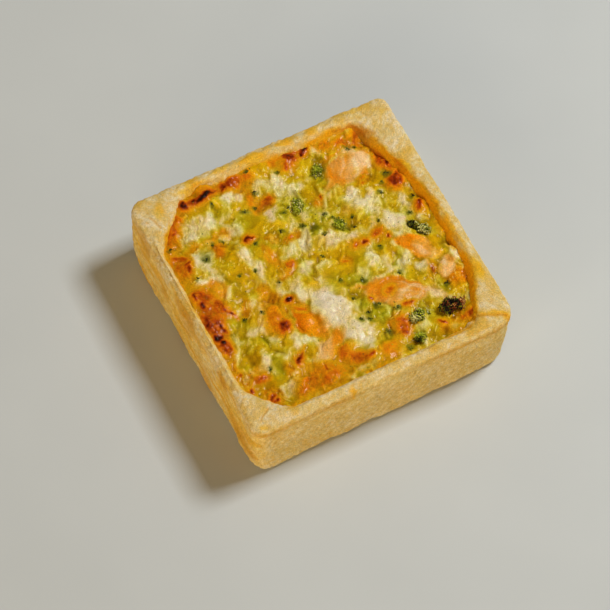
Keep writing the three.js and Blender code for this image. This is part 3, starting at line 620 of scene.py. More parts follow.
# Marks of a colour of their own on the salmon.
FLESH_MARKS = [
    (rgb(232, 140, 12), [
        (11.6, -12.4, 12, 2.6, -16, 0.9), (18, -14.2, 8, 1.6, -30, 0.8),
        (9.6, -14.6, 4, 3, -50, 0.7), (16.8, 26.4, 5, 1.8, 66, 0.8),
        (19.6, 23.6, 6, 1.8, 60, 0.8), (22.2, 27.6, 6, 1.1, 62, 0.7),
        (24.8, 21.8, 4, 1.4, 50, 0.8), (15.6, 22.6, 3.6, 2, 20, 0.7),
        (28.4, 29.6, 5, 1.2, -50, 0.7), (20, 31.6, 11, 1, 10, 0.6), (-6.2, -23.2, 5, 3, 40, 0.9),
        (-9.4, -17.6, 5, 5, 0, 0.8), (33.4, -14.6, 3, 2, -40, 0.6),
    ]),
    (rgb(212, 86, 8), [
        (14, -16, 4.4, 2.6, -14, 0.8), (12.4, -17.2, 2, 1.4, 0, 0.7),
        (-11.2, -9.8, 6, 1.8, -55, 0.9), (-12.6, -7.6, 2.4, 3, 0, 0.8),
    ]),
    (rgb(240, 200, 150), [
        (20.4, -17, 8, 0.7, -34, 0.8), (21.6, -18.8, 8, 0.7, -40, 0.8),
        (23, -20.4, 6, 0.7, -46, 0.8), (17.6, -18.4, 5, 0.6, -30, 0.7),
        (26, -22.6, 5, 2, -60, 0.7), (20.6, 26.6, 6, 1.3, 66, 0.7), (26.4, 27, 6, 2.2, 60, 0.8),
        (28.6, 24.6, 5, 1.4, 62, 0.8), (28.6, -8.4, 4, 1.4, -56, 0.8),
        (-12.4, -23.6, 4, 1.4, 60, 0.7),
    ]),
]


class Plan:
    """Layers over x and y that describe the top: height, colour, wetness and flakes."""

    def __init__(self):
        axis = np.arange(-PLAN_REACH, PLAN_REACH + PLAN_STEP / 2, PLAN_STEP)
        self.x, self.y = np.meshgrid(axis, axis)
        self.ground = filling_height(self.x, self.y)
        self.flake = np.zeros(self.x.shape)
        self.ragged_x = self.x + 0.9 * self.noise(3, 61) + 0.3 * self.noise(1.1, 62)
        self.ragged_y = self.y + 0.9 * self.noise(3, 63) + 0.3 * self.noise(1.1, 64)

    def noise(self, size, seed):
        return noise(self.x / size, self.y / size, seed)

    def rough(self, size, seed, octaves=3):
        return rough(self.x / size, self.y / size, seed, octaves)

    def ragged(self, size, seed, octaves=3):
        """Rough noise whose bumps have ragged edges."""
        return rough(self.ragged_x / size, self.ragged_y / size, seed, octaves)

    def blisters(self, size, seed):
        """Ridged noise, like curds that lie close together."""
        return np.abs(noise(self.ragged_x / size, self.ragged_y / size, seed))

    def square(self, x, y):
        """The row and column of the square that a point is in."""
        return int((y + PLAN_REACH) / PLAN_STEP), int((x + PLAN_REACH) / PLAN_STEP)

    def around(self, x, y, reach):
        """The squares within reach of a point."""
        low = np.clip(self.square(x - reach, y - reach), 0, len(self.x))
        high = np.clip(self.square(x + reach, y + reach), -2, len(self.x) - 2) + 2
        return slice(low[0], high[0]), slice(low[1], high[1])

    def layer_of(self, marks, edge):
        """One layer that holds the strongest of many marks, each with a soft ragged edge."""
        layer = np.zeros(self.x.shape)
        for mark in marks:
            part = self.around(*mark[:2], 0.8 * max(mark[2:4]) + 1.5)
            distance = oval_distance(mark, self.ragged_x[part], self.ragged_y[part])
            cover = mark[5] * smooth(rising(distance, 1 + edge, 1 - edge))
            layer[part] = np.maximum(layer[part], cover)
        return layer

    def line_of(self, marks):
        """One layer that holds thin bent lines."""
        layer = np.zeros(self.x.shape)
        for mark in marks:
            part = self.around(*mark[:3])
            along, across = in_oval(mark, self.ragged_x[part], self.ragged_y[part], mark[6])
            cover = mark[5] * bell(0.4 * across) * clamped(2.4 - 2 * np.abs(along))
            layer[part] = np.maximum(layer[part], cover)
        return layer

    def at(self, layer, x, y):
        """A layer's values at any plan points, blended between its squares."""
        last = len(self.x) - 1.001
        column = np.clip((x + PLAN_REACH) / PLAN_STEP, 0, last)
        row = np.clip((y + PLAN_REACH) / PLAN_STEP, 0, last)
        left, low = column.astype(int), row.astype(int)
        blend = mix if layer.ndim == 3 else between
        near = blend(layer[low, left], layer[low, left + 1], column - left)
        far = blend(layer[low + 1, left], layer[low + 1, left + 1], column - left)
        return blend(near, far, row - low)

    def lay(self, mark, bend, level, lift, colour, soft, cover):
        """Lays a curd or shred on the surface where it stands above what is there."""
        x, y, length, width = mark[:4]
        part = self.around(x, y, length / 2 + abs(bend) + width / 2)
        along, across = in_oval(mark, self.x[part], self.y[part], bend)
        body = 1 - np.abs(along) ** 2.6 - across ** 2
        rise = self.ground[part] + level + lift * np.maximum(body, 0) ** 0.7
        rise = np.where(body > 0, rise - self.height[part], 0)
        self.height[part] += np.maximum(rise, 0)
        self.tint[part] = mix(self.tint[part], colour, cover * clamped(rise / soft))

    def melted(self, layer):
        """A layer drawn out of shape a little, as cheese is when it melts."""
        fine = MELT_SIZE / 2.3
        shift_x = 0.45 * self.noise(MELT_SIZE, 66) + 0.15 * self.noise(fine, 67)
        shift_y = 0.45 * self.noise(MELT_SIZE, 68) + 0.15 * self.noise(fine, 69)
        return self.at(layer, self.x + shift_x, self.y + shift_y)


def blurred(layer, width):
    """A layer with its detail finer than so many squares softened."""
    if layer.ndim == 3:
        return np.stack([blurred(channel, width) for channel in np.moveaxis(layer, -1, 0)], -1)
    down = np.fft.fftfreq(layer.shape[0])[:, None]
    along = np.fft.rfftfreq(layer.shape[1])
    keep = np.exp(-2 * (math.pi * width) ** 2 * (down ** 2 + along ** 2))
    return np.fft.irfft2(np.fft.rfft2(layer) * keep, s=layer.shape)


def ramped(colours, level):
    """Colours along a ramp by the level of the cheese."""
    return np.stack([np.interp(level, CHEESE_LEVELS, channel) for channel in colours.T], -1)


def cheese_level(plan, pale, gold):
    """How thick the melted cheese lies: curdled, in soft patches, from 0 to 1."""
    along, across = turned(plan.ragged_x, plan.ragged_y, STREAK_TURN)
    across = across + 1.6 * plan.noise(9, 43)
    streaks = rough(along / 4.2, across / 1.4, 44, 2)
    threads = rough(along / 3, across / 0.5, 45, 2)
    curds = plan.blisters(2.5, 46) - 0.35
    bits = plan.blisters(1.05, 48) - 0.35
    patches = plan.ragged(4.4, 47, 2)
    uneven = 0.14 * streaks + 0.3 * curds + 0.12 * bits + 0.24 * patches + 0.16 * threads
    level = np.maximum(0.42 + 0.38 * pale - 0.15 * gold + (1 - 0.6 * gold) * uneven, 0)
    above = 1 - CREAMY_FROM
    return np.minimum(level, CREAMY_FROM + above * np.tanh((level - CREAMY_FROM) / above))


def lay_cheese(plan, level, orange, green):
    """Colours the top by how thick the cheese lies and by what has stained it."""
    spots = clamped(0.5 + 1.5 * plan.ragged(2.2, 37))
    lime = clamped(1.6 * plan.ragged(5, 31) - 0.02)
    pink = clamped(1.8 * plan.ragged(2.6, 33) - 0.2) * rising(level, 0.5, 0.8)
    tint = ramped(PLAIN, level)
    tint = mix(tint, ramped(GREENISH, level - 0.1 * spots), green * (0.45 + 0.55 * spots))
    tint = mix(tint, ramped(GREENISH, level), 0.45 * lime)
    tint = mix(tint, PINK_CREAM, 0.6 * pink)
    plan.tint = mix(tint, ramped(ORANGE, level - 0.06), clamped(1.15 * orange))
    plan.height = plan.ground + 1.1 * (level - 0.45) + 0.62 * plan.rough(6.4, 49, 2)


def lay_curds(plan, level):
    """Curds, shreds and bits of cheese that haven't quite melted."""
    draw = np.random.default_rng(CURD_SEED)
    for count, shortest, longest, narrowest, widest, lift in CURD_KINDS:
        for _ in range(count):
            x, y = draw.uniform(-CURDS_REACH, CURDS_REACH, 2)
            length = draw.uniform(shortest, longest)
            width = draw.uniform(narrowest, widest)
            turn = STREAK_TURN + draw.normal(0, CURD_SWAY)
            bend = draw.normal(0, 0.1) * length
            rise = lift * draw.uniform(0.5, 1.2)
            lightness = draw.uniform(-0.2, 0.32)
            here = plan.square(x, y)
            if draw.random() < 1.6 * level[here] - 0.3:
                colour = mix(plan.tint[here], WHITE_CURD, lightness)
                base = plan.height[here] - plan.ground[here] - 0.12
                plan.lay((x, y, length, width, turn), bend, base, rise, colour, 0.3, 0.6)


def lay_strands(plan):
    """The strands of melted cheese that are listed."""
    # The short pale marks on the browned spots are painted highlights.
    for *mark, strength, bend in STRANDS:
        base = float(plan.at(plan.height - plan.ground, *mark[:2]))
        colour = mix(PINK_CREAM, WHITE_CURD, strength)
        plan.lay(mark, bend, base - 0.1, 0.35, colour, 0.35, 0.6)


def lay_threads(plan, level):
    """Fine pale threads and grains of cheese, whose pale colour is partly painted highlight."""
    draw = np.random.default_rng(THREAD_SEED)
    for _ in range(THREADS):
        x, y = draw.uniform(-CURDS_REACH, CURDS_REACH, 2)
        length = 0.5 + draw.exponential(0.7)
        turn = STREAK_TURN + draw.normal(0, THREAD_SWAY)
        bend = draw.normal(0, 0.12) * length
        here = plan.square(x, y)
        if draw.random() < 1.5 * level[here] - 0.1:
            mark = (x, y, length, THREAD_WIDTH, turn)
            base = plan.height[here] - plan.ground[here] - 0.04
            plan.lay(mark, bend, base, THREAD_LIFT, THREAD_AND_HIGHLIGHT, 0.12, 0.55)


def pour_sauce(plan):
    """Covers some curds with pale sauce, pink where it is thin, and gives its cover."""
    sauce = plan.layer_of(SAUCE_ZONES, 0.9) * (0.85 + 0.4 * plan.rough(3, 93, 2))
    sauce = clamped(blurred(sauce, 7))
    veil = 0.75 + 0.5 * plan.rough(1.6, 94, 2)
    plan.tint = mix(plan.tint, PINK_CREAM, 0.5 * clamped(sauce * veil))
    plan.tint = mix(plan.tint, SAUCE, 0.88 * smooth(clamped((1.4 * sauce - 0.2) * veil)))
    plan.height = between(plan.height, blurred(plan.height, 5) + 0.15, 0.9 * sauce)
    return sauce


def paint_salmon(plan):
    """Gives the plan the salmon's colours and flakes inside each piece's outline."""
    for piece, look in zip(SALMON, SALMON_LOOKS):
        pale, deep, line, period, turn, shown, deep_turn, deep_share = look
        distance = oval_distance(piece, plan.ragged_x, plan.ragged_y, piece[6])
        x, y = plan.ragged_x - piece[0], plan.ragged_y - piece[1]
        along, across = turned(x, y, turn)
        wave = across / period + 0.25 * noise(along / 5, across / 3, 71)
        bands = (0.5 + 0.5 * np.cos(2 * math.pi * wave)) ** 3
        fibres = rough(across / 0.8, along / 6, 73, 2)
        towards = turned(x, y, deep_turn)[0] / piece[3]
        depth = clamped(deep_share + 0.9 * towards + 0.4 * plan.rough(3.2, 77))
        lines = bands * (1.1 - depth) + 0.7 * fibres
        tint = mix(mix(pale, deep, depth), line, clamped(shown * lines))
        cheese = clamped(1.5 * plan.rough(3, 79) - 0.5 + 0.9 * (distance - 0.6))
        inside = smooth(rising(distance, 1.14, 0.69)) * (1 - 0.75 * cheese)
        plan.tint = mix(plan.tint, tint, inside)
        plan.flake = between(plan.flake, 0.06 * fibres - 0.08 * bands, inside)
        plan.height = between(plan.height, plan.ground, 0.6 * smooth(rising(distance, 1.1, 0.6)))
        creased = clamped(0.4 + noise(along / 4, across / 4, 78))
        plan.height -= 0.14 * creased * bell((distance - 1) / 0.12)
        plan.wet = np.maximum(plan.wet, 0.75 * inside)
    for colour, marks in FLESH_MARKS:
        plan.tint = mix(plan.tint, colour, plan.layer_of(marks, 0.8))


def brown(plan, spots):
    """Toasts the top round its browned spots, from orange through red-brown to charred."""
    heat = np.maximum(blurred(spots, 1.4), np.minimum(0.32, 1.1 * blurred(spots, 5)))
    blister = plan.blisters(1.3, 82)
    speckle = plan.rough(0.7, 81, 2)
    tips = np.clip(plan.height - blurred(plan.height, 5), -0.4, 0.4)
    reached = heat * (1.06 + 0.32 * speckle + 0.4 * tips - 0.3 * (blister - 0.3))
    start = BROWNING_STARTS
    for least, colour in BROWNING:
        plan.tint = mix(plan.tint, colour, rising(reached, start, least))
        start = least
    plan.height += 0.6 * blurred(clamped(spots), 4)
    crust = 0.5 * blister + 0.15 * speckle - 0.2
    plan.height += rising(heat, 0.4, 0.8) * crust
    plan.wet = np.maximum(plan.wet, 0.7 * clamped(heat / 0.5))


def deepen(plan):
    """Adds thin creases darkened with painted shade, green round the crumbs, painted shade in
    crevices and a fine grain.
    """
    crease = plan.line_of(CREASES_IN_TOP)
    # The creases are darkened with painted shade.
    plan.tint = mix(plan.tint, CREASE_SHADE_AND_STEM_DARK, 0.5 * crease)
    plan.height -= 0.16 * crease
    for x, y, size in CRUMBS:
        part = plan.around(x, y, 2.4 * size)
        reach = np.hypot(plan.ragged_x[part] - x, plan.ragged_y[part] - y) / size
        cover = 0.55 * smooth(rising(reach, 1.9, 0.5))
        plan.tint[part] = mix(plan.tint[part], DARK_GREEN, cover)
    # Painted shade: the colour is darkened where the top lies lower than round it.
    crevice = np.clip(blurred(plan.height, 3) - plan.height, -0.1, 0.5)
    plan.tint = plan.tint * (1 - 0.7 * crevice)[..., None]
    plan.height += 0.07 * plan.rough(1.1, 95, 2)


def make_plan():
    """The whole top in plan."""
    plan = Plan()
    pale = plan.layer_of(PALE_ZONES, 0.85)
    gold = plan.layer_of(GOLD_ZONES, 0.7)
    orange = blurred(plan.layer_of(ORANGE_ZONES, 0.6), 2)
    green = blurred(plan.layer_of(GREEN_ZONES, 0.7), 2)
    level = cheese_level(plan, pale, gold)
    lay_cheese(plan, level, orange, green)
    lay_curds(plan, level)
    lay_strands(plan)
    plan.height = blurred(plan.melted(plan.height), 1.1)
    plan.tint = blurred(plan.melted(plan.tint), 1.1)
    lay_threads(plan, level)
    sauce = pour_sauce(plan)
    beside_wall = rising(plan.x, 32.5, 36) * rising(np.abs(plan.y), 28, 22)
    plan.height += 0.5 * blurred(gold, 5) - 0.7 * beside_wall
    plan.wet = np.maximum(0.5 + 0.35 * gold, 0.9 * sauce)
    paint_salmon(plan)
    edge = np.maximum(np.abs(plan.x), np.abs(plan.y))
    along_rim = rising(edge, 34, 37) * clamped(0.4 + 1.3 * plan.rough(4, 91))
    brown(plan, np.maximum(plan.layer_of(TOASTED, 0.75), 0.22 * along_rim))
    deepen(plan)
    return plan


def write_layer(mesh, layer, values):
    """Stores colours or plain values at a mesh's points."""
    if values.ndim == 2:
        attribute = mesh.attributes.new(layer, "FLOAT_COLOR", "POINT")
        colours = np.ones((len(values), 4), np.float32)
        colours[:, :3] = to_linear(values)
        attribute.data.foreach_set("color", colours.ravel())
    else:
        attribute = mesh.attributes.new(layer, "FLOAT", "POINT")
        attribute.data.foreach_set("value", values.astype(np.float32))


def add_piece(name, points, faces, layers, material, replaced=()):
    """A smooth piece that rides on the quiche's body, from points in millimetres."""
    mesh = bpy.data.meshes.new(name)
    mesh.from_pydata((np.asarray(points) * METRES).tolist(), [], faces)
    for layer, values in layers.items():
        write_layer(mesh, layer, values)
    mesh.polygons.foreach_set("use_smooth", np.ones(len(mesh.polygons), bool))
    mesh.materials.append(material)
    mesh.update()
    piece = bpy.data.objects.new(name, mesh)
    bpy.context.scene.collection.objects.link(piece)
    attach(piece, BODY)
    if replaced:
        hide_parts(*replaced)


class Nodes:
    """Short ways to add and join shader nodes in one material."""

    def __init__(self, name):
        self.material = bpy.data.materials.new(name)
        self.material.use_nodes = True
        self.tree = self.material.node_tree
        self.surface = self.tree.nodes["Principled BSDF"]

    def set(self, node, inputs):
        """Gives each input its value, or joins it to another node's output."""
        for name, value in inputs.items():
            if isinstance(value, bpy.types.NodeSocket):
                self.tree.links.new(value, node.inputs[name])
            else:
                node.inputs[name].default_value = value

    def add(self, kind, output, inputs, **settings):
        """Adds a node and gives one of its outputs."""
        node = self.tree.nodes.new(kind)
        for key, value in settings.items():
            setattr(node, key, value)
        self.set(node, inputs)
        return node.outputs[output]

    def layer(self, name, output):
        return self.add("ShaderNodeAttribute", output, {}, attribute_name=name)

    def grain(self, size, detail, roughness):
        """Noise whose lumps are about so many millimetres wide."""
        inputs = {"Scale": 1 / (size * METRES), "Detail": detail, "Roughness": roughness}
        inputs["Vector"] = self.add("ShaderNodeTexCoord", "Object", {})
        return self.add("ShaderNodeTexNoise", "Fac", inputs)

    def spread(self, value, low, high, start=0.3, end=0.7):
        """A value, such as noise, spread over a range of its own."""
        inputs = {"Value": value, "From Min": start, "From Max": end}
        inputs.update({"To Min": low, "To Max": high})
        return self.add("ShaderNodeMapRange", "Result", inputs)

    def times(self, a, b):
        return self.add("ShaderNodeMath", "Value", {0: a, 1: b}, operation="MULTIPLY")

    def tinted(self, amount):
        """The piece's own colours, made lighter or darker by a value round 1."""
        inputs = {"Vector": self.layer("tint", "Color"), "Scale": amount}
        return self.add("ShaderNodeVectorMath", "Vector", inputs, operation="SCALE")

    def bump(self, height, depth, **below):
        """Bump so many millimetres deep, on top of the bump below it, if there is one."""
        inputs = {"Height": height, "Strength": 1, "Distance": depth * METRES, **below}
        return self.add("ShaderNodeBump", "Normal", inputs)


def soft_flesh(weight, depth, reach):
    """Inputs for light that enters and leaves again within so many millimetres."""
    return {
        "Subsurface Weight": weight,
        "Subsurface Radius": reach,
        "Subsurface Scale": depth * METRES,
    }


def pastry_material():
    """Dry crust with sandy grain and broader dusty patches."""
    nodes = Nodes("baked pastry")
    sand = nodes.grain(0.28, 3, 0.75)
    dust = nodes.grain(1.7, 4, 0.65)
    nodes.set(nodes.surface, {
        "Base Color": nodes.tinted(nodes.spread(sand, 0.56, 1.42)),
        "Roughness": nodes.spread(dust, 0.62, 0.8),
        "Normal": nodes.bump(sand, 0.2, Normal=nodes.bump(dust, 0.14)),
        "Specular IOR Level": 0.06,
        **soft_flesh(0.15, 0.8, (1, 0.6, 0.3)),
    })
    return nodes.material


def moist_material(name, coat, fineness, depth):
    """Wet food: colour from the plan, glossy where it is wet, with fine wrinkles."""
    nodes = Nodes(name)
    fine = nodes.grain(fineness, 3, 0.7)
    wet = nodes.layer("wet", "Fac")
    dryness = nodes.spread(wet, 0.6, 0.32, 0, 1)
    patches = nodes.spread(nodes.grain(2.6, 2, 0.5), 0.85, 1.25)
    wrinkles = nodes.times(fine, nodes.spread(wet, 1.3, 0.4, 0.4, 0.9))
    nodes.set(nodes.surface, {
        "Base Color": nodes.tinted(nodes.spread(fine, 0.82, 1.18, 0.4, 0.6)),
        "Roughness": nodes.times(dryness, patches),
        "Normal": nodes.bump(wrinkles, depth),
        "Coat Weight": coat,
        "Coat Roughness": 0.13,
        "Specular IOR Level": 0.03,
        **soft_flesh(0.2, 1.2, (1, 0.5, 0.15)),
    })
    return nodes.material


def broccoli_material():
    """Cooked buds: finely mottled and a little glossy."""
    nodes = Nodes("baked broccoli")
    fine = nodes.grain(0.35, 2, 0.6)
    nodes.set(nodes.surface, {
        "Base Color": nodes.tinted(nodes.spread(fine, 0.7, 1.35)),
        "Roughness": nodes.spread(fine, 0.35, 0.6),
        "Normal": nodes.bump(fine, 0.12),
        "Coat Weight": 0.1,
        "Coat Roughness": 0.2,
        "Specular IOR Level": 0.12,
    })
    return nodes.material


def floor_material():
    """A pale matt surface with the faintest unevenness."""
    nodes = Nodes("pale floor")
    ramp = nodes.tree.nodes.new("ShaderNodeValToRGB")
    for stop, place, tone in zip(ramp.color_ramp.elements, (0.3, 0.7), FLOOR_TONES):
        stop.position = place
        stop.color = (*to_linear(tone), 1)
    nodes.set(ramp, {"Fac": nodes.grain(40, 2, 0.5)})
    tones = ramp.outputs["Color"]
    nodes.set(nodes.surface, {"Base Color": tones, "Roughness": 0.6, "Specular IOR Level": 0.2})
    return nodes.material


# Pastry: its colours, and its relief as (depth, size of the bumps, seed).
CRUST_PALE = rgb(238, 220, 186)
CRUST = rgb(218, 190, 118)
CRUST_SAND = rgb(216, 164, 46)
# Golden streaks of the left wall: real colour, made extra light as painted light.
CRUST_GOLD_WITH_PAINTED_LIGHT = rgb(248, 204, 84)
CRUST_TAN = rgb(218, 184, 116)
CRUST_BROWN = rgb(212, 142, 34)
STAIN = rgb(242, 166, 8)
STAIN_PALE = rgb(238, 186, 40)
# Stain made extra bright as painted light, for the inner wall at the right.
STAIN_WITH_PAINTED_LIGHT = rgb(255, 172, 2)
STAIN_TOASTED = rgb(196, 96, 6)
# Painted shade for the nook at the far right corner.
NOOK_PAINTED_SHADE = rgb(132, 70, 8)
CRUST_RELIEF = [(0.16, 5, 101), (0.08, 2.1, 102), (0.12, 1, 103), (0.12, 0.6, 104)]
PIT_DEPTH = 0.18
CRUMBLY_FOOT = 2.2
FOOT_CRUMBS = 0.5

# Creases in the rim: from (x, y) to (x, y), width, depth and how brown they are. Below
# zero it is a fold that stands out, and paler.
CREASES = [
    ((-38.2, -37.6), (-35, -35.4), 0.3, 0.25, 0.4),
    ((-36.4, 34.4), (-35.4, 30.6), 0.3, 0.25, 0.45),
    ((31, -36), (38.6, -39.4), 0.45, 0.4, 0.5),
    ((21.4, -36.6), (28.6, -36.4), 0.9, -0.75, -1),
    ((29, 36.4), (33.4, 31), 0.7, 0.3, 0.7),
]

# Stains on the rim: (x, y, length, width, turn, strength).
RIM_STAINS = [
    (-33.4, 36, 6, 2.4, 65, 0.6), (-21, 40.4, 5, 2.4, 0, 0.7), (-22, 38.6, 9, 1.6, 5, 0.7),
    (-11.6, 40.2, 6, 2, 5, 0.7), (-2, 39.4, 9, 2.6, 0, 0.9), (8.6, 40, 5, 3, 0, 0.8),
    (17.6, 40, 4, 3.4, 20, 0.7), (31, 40.6, 7, 1.6, 0, 0.4), (38.2, -22, 9, 3, 85, 0.9),
    (38.4, -6, 20, 1.4, 92, 0.5), (37.6, -6.4, 8, 2.6, 92, 0.95),
    (35.6, -37.4, 9, 1.6, -24, 0.7), (38.6, -39.6, 3, 2.4, 0, 0.6),
    (-38.6, -39.6, 2.4, 2, 0, 0.5), (-27.6, -37.6, 4, 1.2, 10, 0.8),
    (-11.5, -41, 1.6, 1.6, 0, 0.7), (-38.6, -1, 14, 0.9, 90, 0.7), (-37.8, 18, 8, 0.8, 90, 0.5),
    (38, 33, 6, 1, 90, 0.2),
]

# Spots on the pastry, each (x, y, radius): a pale corner of the walls, a corner of the rim
# that is free of sand, and a nook darkened with painted shade.
PALE_CORNER = (-40, -40, 6)
BARE_CORNER = (-35.5, 36, 5)
SHADED_NOOK = (33, 34, 3.6)

# The brown line below the rim: its height and its width. Then where the rim begins.
BROWN_LINE = 22.2
BROWN_LINE_WIDTH = 0.8
RIM_FROM = 20


def ray_angles(per_side):
    """Angles to points round a square, closer together towards its corners."""
    t = 2 * np.arange(per_side) / per_side - 1
    side = np.arctan2(-1, 1.25 * t - 0.25 * t ** 3)
    return np.concatenate([side + turn * math.pi / 2 for turn in range(4)])


def ring_at(angles, radii, growth, height):
    """A ring of points outside or inside a given outline, at a height."""
    radii = radii * (1 + growth / HALF_WIDTH)
    height = np.broadcast_to(height, radii.shape)
    return np.stack([radii * np.cos(angles), radii * np.sin(angles), height], -1)


def refined(rings, spacing):
    """Closely spaced rings along a smooth curve through the given ones."""
    lengths = np.linalg.norm(np.diff(rings, axis=0), axis=2).mean(1)
    slopes = np.gradient(rings, np.concatenate([[0], np.cumsum(lengths)]), axis=0)
    fine = []
    for index, length in enumerate(lengths):
        count = max(1, round(length / spacing))
        for t in np.arange(count) / count:
            start = (1 + 2 * t) * (1 - t) ** 2 * rings[index]
            end = t ** 2 * (3 - 2 * t) * rings[index + 1]
            leave = t * (1 - t) ** 2 * length * slopes[index]
            arrive = t ** 2 * (t - 1) * length * slopes[index + 1]
            fine.append(start + end + leave + arrive)
    return np.array([*fine, rings[-1]])


def pastry_rings():
    """Rings of the shell from the middle of its base, over the rim and down inside."""
    angles = ray_angles(PASTRY_RAYS_PER_SIDE)
    base = base_reach(angles)
    outer = rim_reach(angles)
    inner = inner_reach(angles)
    rings = []
    for bulge, height, strength in WALL_PROFILE:
        radii = between(base, outer, height / SHELL_HEIGHT)
        wander = WALL_WANDER * strength * noise(10 * angles, height / 6 + 0 * angles, 3)
        rings.append(ring_at(angles, radii, bulge + wander, height))
    for radii, edge in ((outer, OUTER_EDGE), (inner, INNER_EDGE)):
        wave = RIM_WAVE * noise(radii * np.cos(angles) / 13, radii * np.sin(angles) / 13, 8)
        for outward, drop in edge:
            rings.append(ring_at(angles, radii, outward, SHELL_HEIGHT - drop + wave))
    for height in (KNEE_HEIGHT, (KNEE_HEIGHT + HEEL_HEIGHT) / 2, HEEL_HEIGHT, FLOOR_THICKNESS):
        rings.append(ring_at(angles, inner, -wall_inset(angles, height), height))
    return np.array(rings)


def grid_normals(rings):
    """Outward directions of a surface made of rings."""
    round_it = np.roll(rings, -1, axis=1) - np.roll(rings, 1, axis=1)
    normals = np.cross(round_it, np.gradient(rings, axis=0))
    return normals / np.maximum(np.linalg.norm(normals, axis=2, keepdims=True), 1e-9)


def distance_to_line(points, start, end):
    """How far plan points are from a straight line between two points."""
    from_start = points[:, :2] - start
    step = np.subtract(end, start)
    share = clamped(from_start @ step / (step @ step))
    return np.linalg.norm(from_start - share[:, None] * step, axis=1)


def pastry_relief(points):
    """How far the crumbly surface stands out, in millimetres."""
    bumps = sum(depth * noise_in_space(points, *kind) for depth, *kind in CRUST_RELIEF)
    pits = rising(noise_in_space(points, 1.3, 105), 0.5, 0.8)
    foot = rising(points[:, 2], CRUMBLY_FOOT, 0)
    return bumps - PIT_DEPTH * pits + FOOT_CRUMBS * foot * specks(points, 2.4, 106, 1, -0.15)


def wall_tint(points):
    """Colours of the outer walls: mottled tan, with bands and streaks of orange-brown; the golden
    streaks of the left wall are made extra light as painted light.
    """
    x, y, z = points.T
    left = rising(x, -38, -41)
    tint = mix(CRUST, CRUST_TAN, 0.4 * specks(points, 7, 111, 0.9, 0.5))
    tint = mix(tint, CRUST_PALE, 0.1 + 0.35 * specks(points, 0.8, 112, 1.2, 0.5))
    tint = tint * (1.06 + 0.05 * rising(z, 13, 18))[:, None]
    along = np.stack([x, y / 5, z], -1)
    streaks = specks(along, 1.6, 118, 0.9, 0.4)
    # On the left wall: golden streaks, real in colour, made extra light as painted light thrown
    # up onto that wall.
    streaked = mix(CRUST_GOLD_WITH_PAINTED_LIGHT, CRUST_BROWN, 0.6 * streaks)
    streaked = mix(streaked, CRUST_PALE, 0.8 * specks(along, 2.3, 125, 1.2, 0))
    tint = mix(tint, streaked * 1.04, 0.85 * left * clamped(0.3 + streaks))
    line = bell((z - BROWN_LINE) / BROWN_LINE_WIDTH) * (y < 0)
    near_corner = specks(points, 6, 114, 0.8, np.abs(x) / 16 - 0.6)
    tint = mix(tint, CRUST_BROWN, 0.5 * line * near_corner)
    orange = specks(points, 7, 119, 1.4, 0.4 * left - 0.5)
    tint = mix(tint, CRUST_BROWN, (0.2 + 0.6 * left) * orange)
    bleached = specks(points, 8, 126, 1.6, 0.1 * left - 0.3)
    tint = mix(tint, CRUST_PALE, (0.3 + 0.5 * left) * bleached)
    corner = spot(x, y, *PALE_CORNER) * rising(z, 9, 0)
    return mix(tint, CRUST_PALE, 0.8 * corner)


def stain_at(points):
    """How far fat from the filling has stained the pastry."""
    x, y, z = points.T
    inside = inner_reach(np.arctan2(y, x)) + 0.2 - np.hypot(x, y) + 0.7 * rising(x, 30, 34)
    edge = inside + 0.6 * noise_in_space(points, 2.2, 116) + 0.9 * noise_in_space(points, 5, 117)
    stain = clamped(edge / 0.8) * (z > 17)
    ragged_x = x + 0.8 * noise_in_space(points, 2, 121)
    ragged_y = y + 0.8 * noise_in_space(points, 2, 122)
    for mark in RIM_STAINS:
        distance = oval_distance(mark, ragged_x, ragged_y)
        cover = mark[5] * smooth(rising(distance, 1.6, 0.4))
        stain = np.maximum(stain, cover * (z > RIM_FROM))
    return stain


def pastry_tint(points, normals):
    """The pastry's colours: paler on top, browner on the walls, stained inside, with painted
    light on the right inner wall and painted shade in the far right nook.
    """
    x, y, z = points.T
    pale = mix(CRUST, CRUST_PALE, 0.25 + 0.65 * specks(points, 2.4, 112, 0.8, 0.5))
    bare = spot(x, y, *BARE_CORNER)
    pale = mix(pale, CRUST_SAND, 0.6 * specks(points, 4, 120, 1.5, -0.15) * (1 - 0.9 * bare))
    tint = mix(wall_tint(points), pale, rising(normals[:, 2], 0.45, 0.8) * (z > RIM_FROM))
    tint = mix(tint, CRUST_SAND, 0.4 * specks(points, 0.75, 113, 1, 0.4))
    tint = mix(tint, CRUST_BROWN, 0.35 * rising(noise_in_space(points, 0.9, 115), 0.6, 0.9))
    stained = mix(STAIN, STAIN_PALE, specks(points, 3, 123, 1, 0.5))
    # The right inner wall faces away from the key lamp; its stain is made brighter: real stain
    # with painted light.
    stained = mix(stained, STAIN_WITH_PAINTED_LIGHT, rising(x, 30, 34) * rising(z, 24.4, 23.6))
    toasted = specks(points, 2.6, 124, 1.3, 0.15) * rising(z, 24.6, 23.8)
    far_right = rising(x, 20, 28) * rising(y, 16, 22)
    stained = mix(stained, STAIN_TOASTED, toasted * (0.15 + 0.8 * far_right))
    # Painted shade in the nook at the far right corner.
    nook = spot(x, y, *SHADED_NOOK) * rising(z, 25, 23)
    stained = mix(stained, NOOK_PAINTED_SHADE, 0.7 * nook)
    return mix(tint, stained, 0.9 * stain_at(points))


def ring_faces(rings, count):
    """Quads between rings of equal count."""
    level, index = np.meshgrid(np.arange(rings - 1), np.arange(count), indexing="ij")
    after = (index + 1) % count
    low = level * count
    high = low + count
    return np.stack([low + index, low + after, high + after, high + index], -1).reshape(-1, 4)


def fan(middle, ring):
    """Triangles between one point and a closed ring of points."""
    return np.stack([np.full(len(ring), middle), ring, np.roll(ring, -1)], -1).tolist()


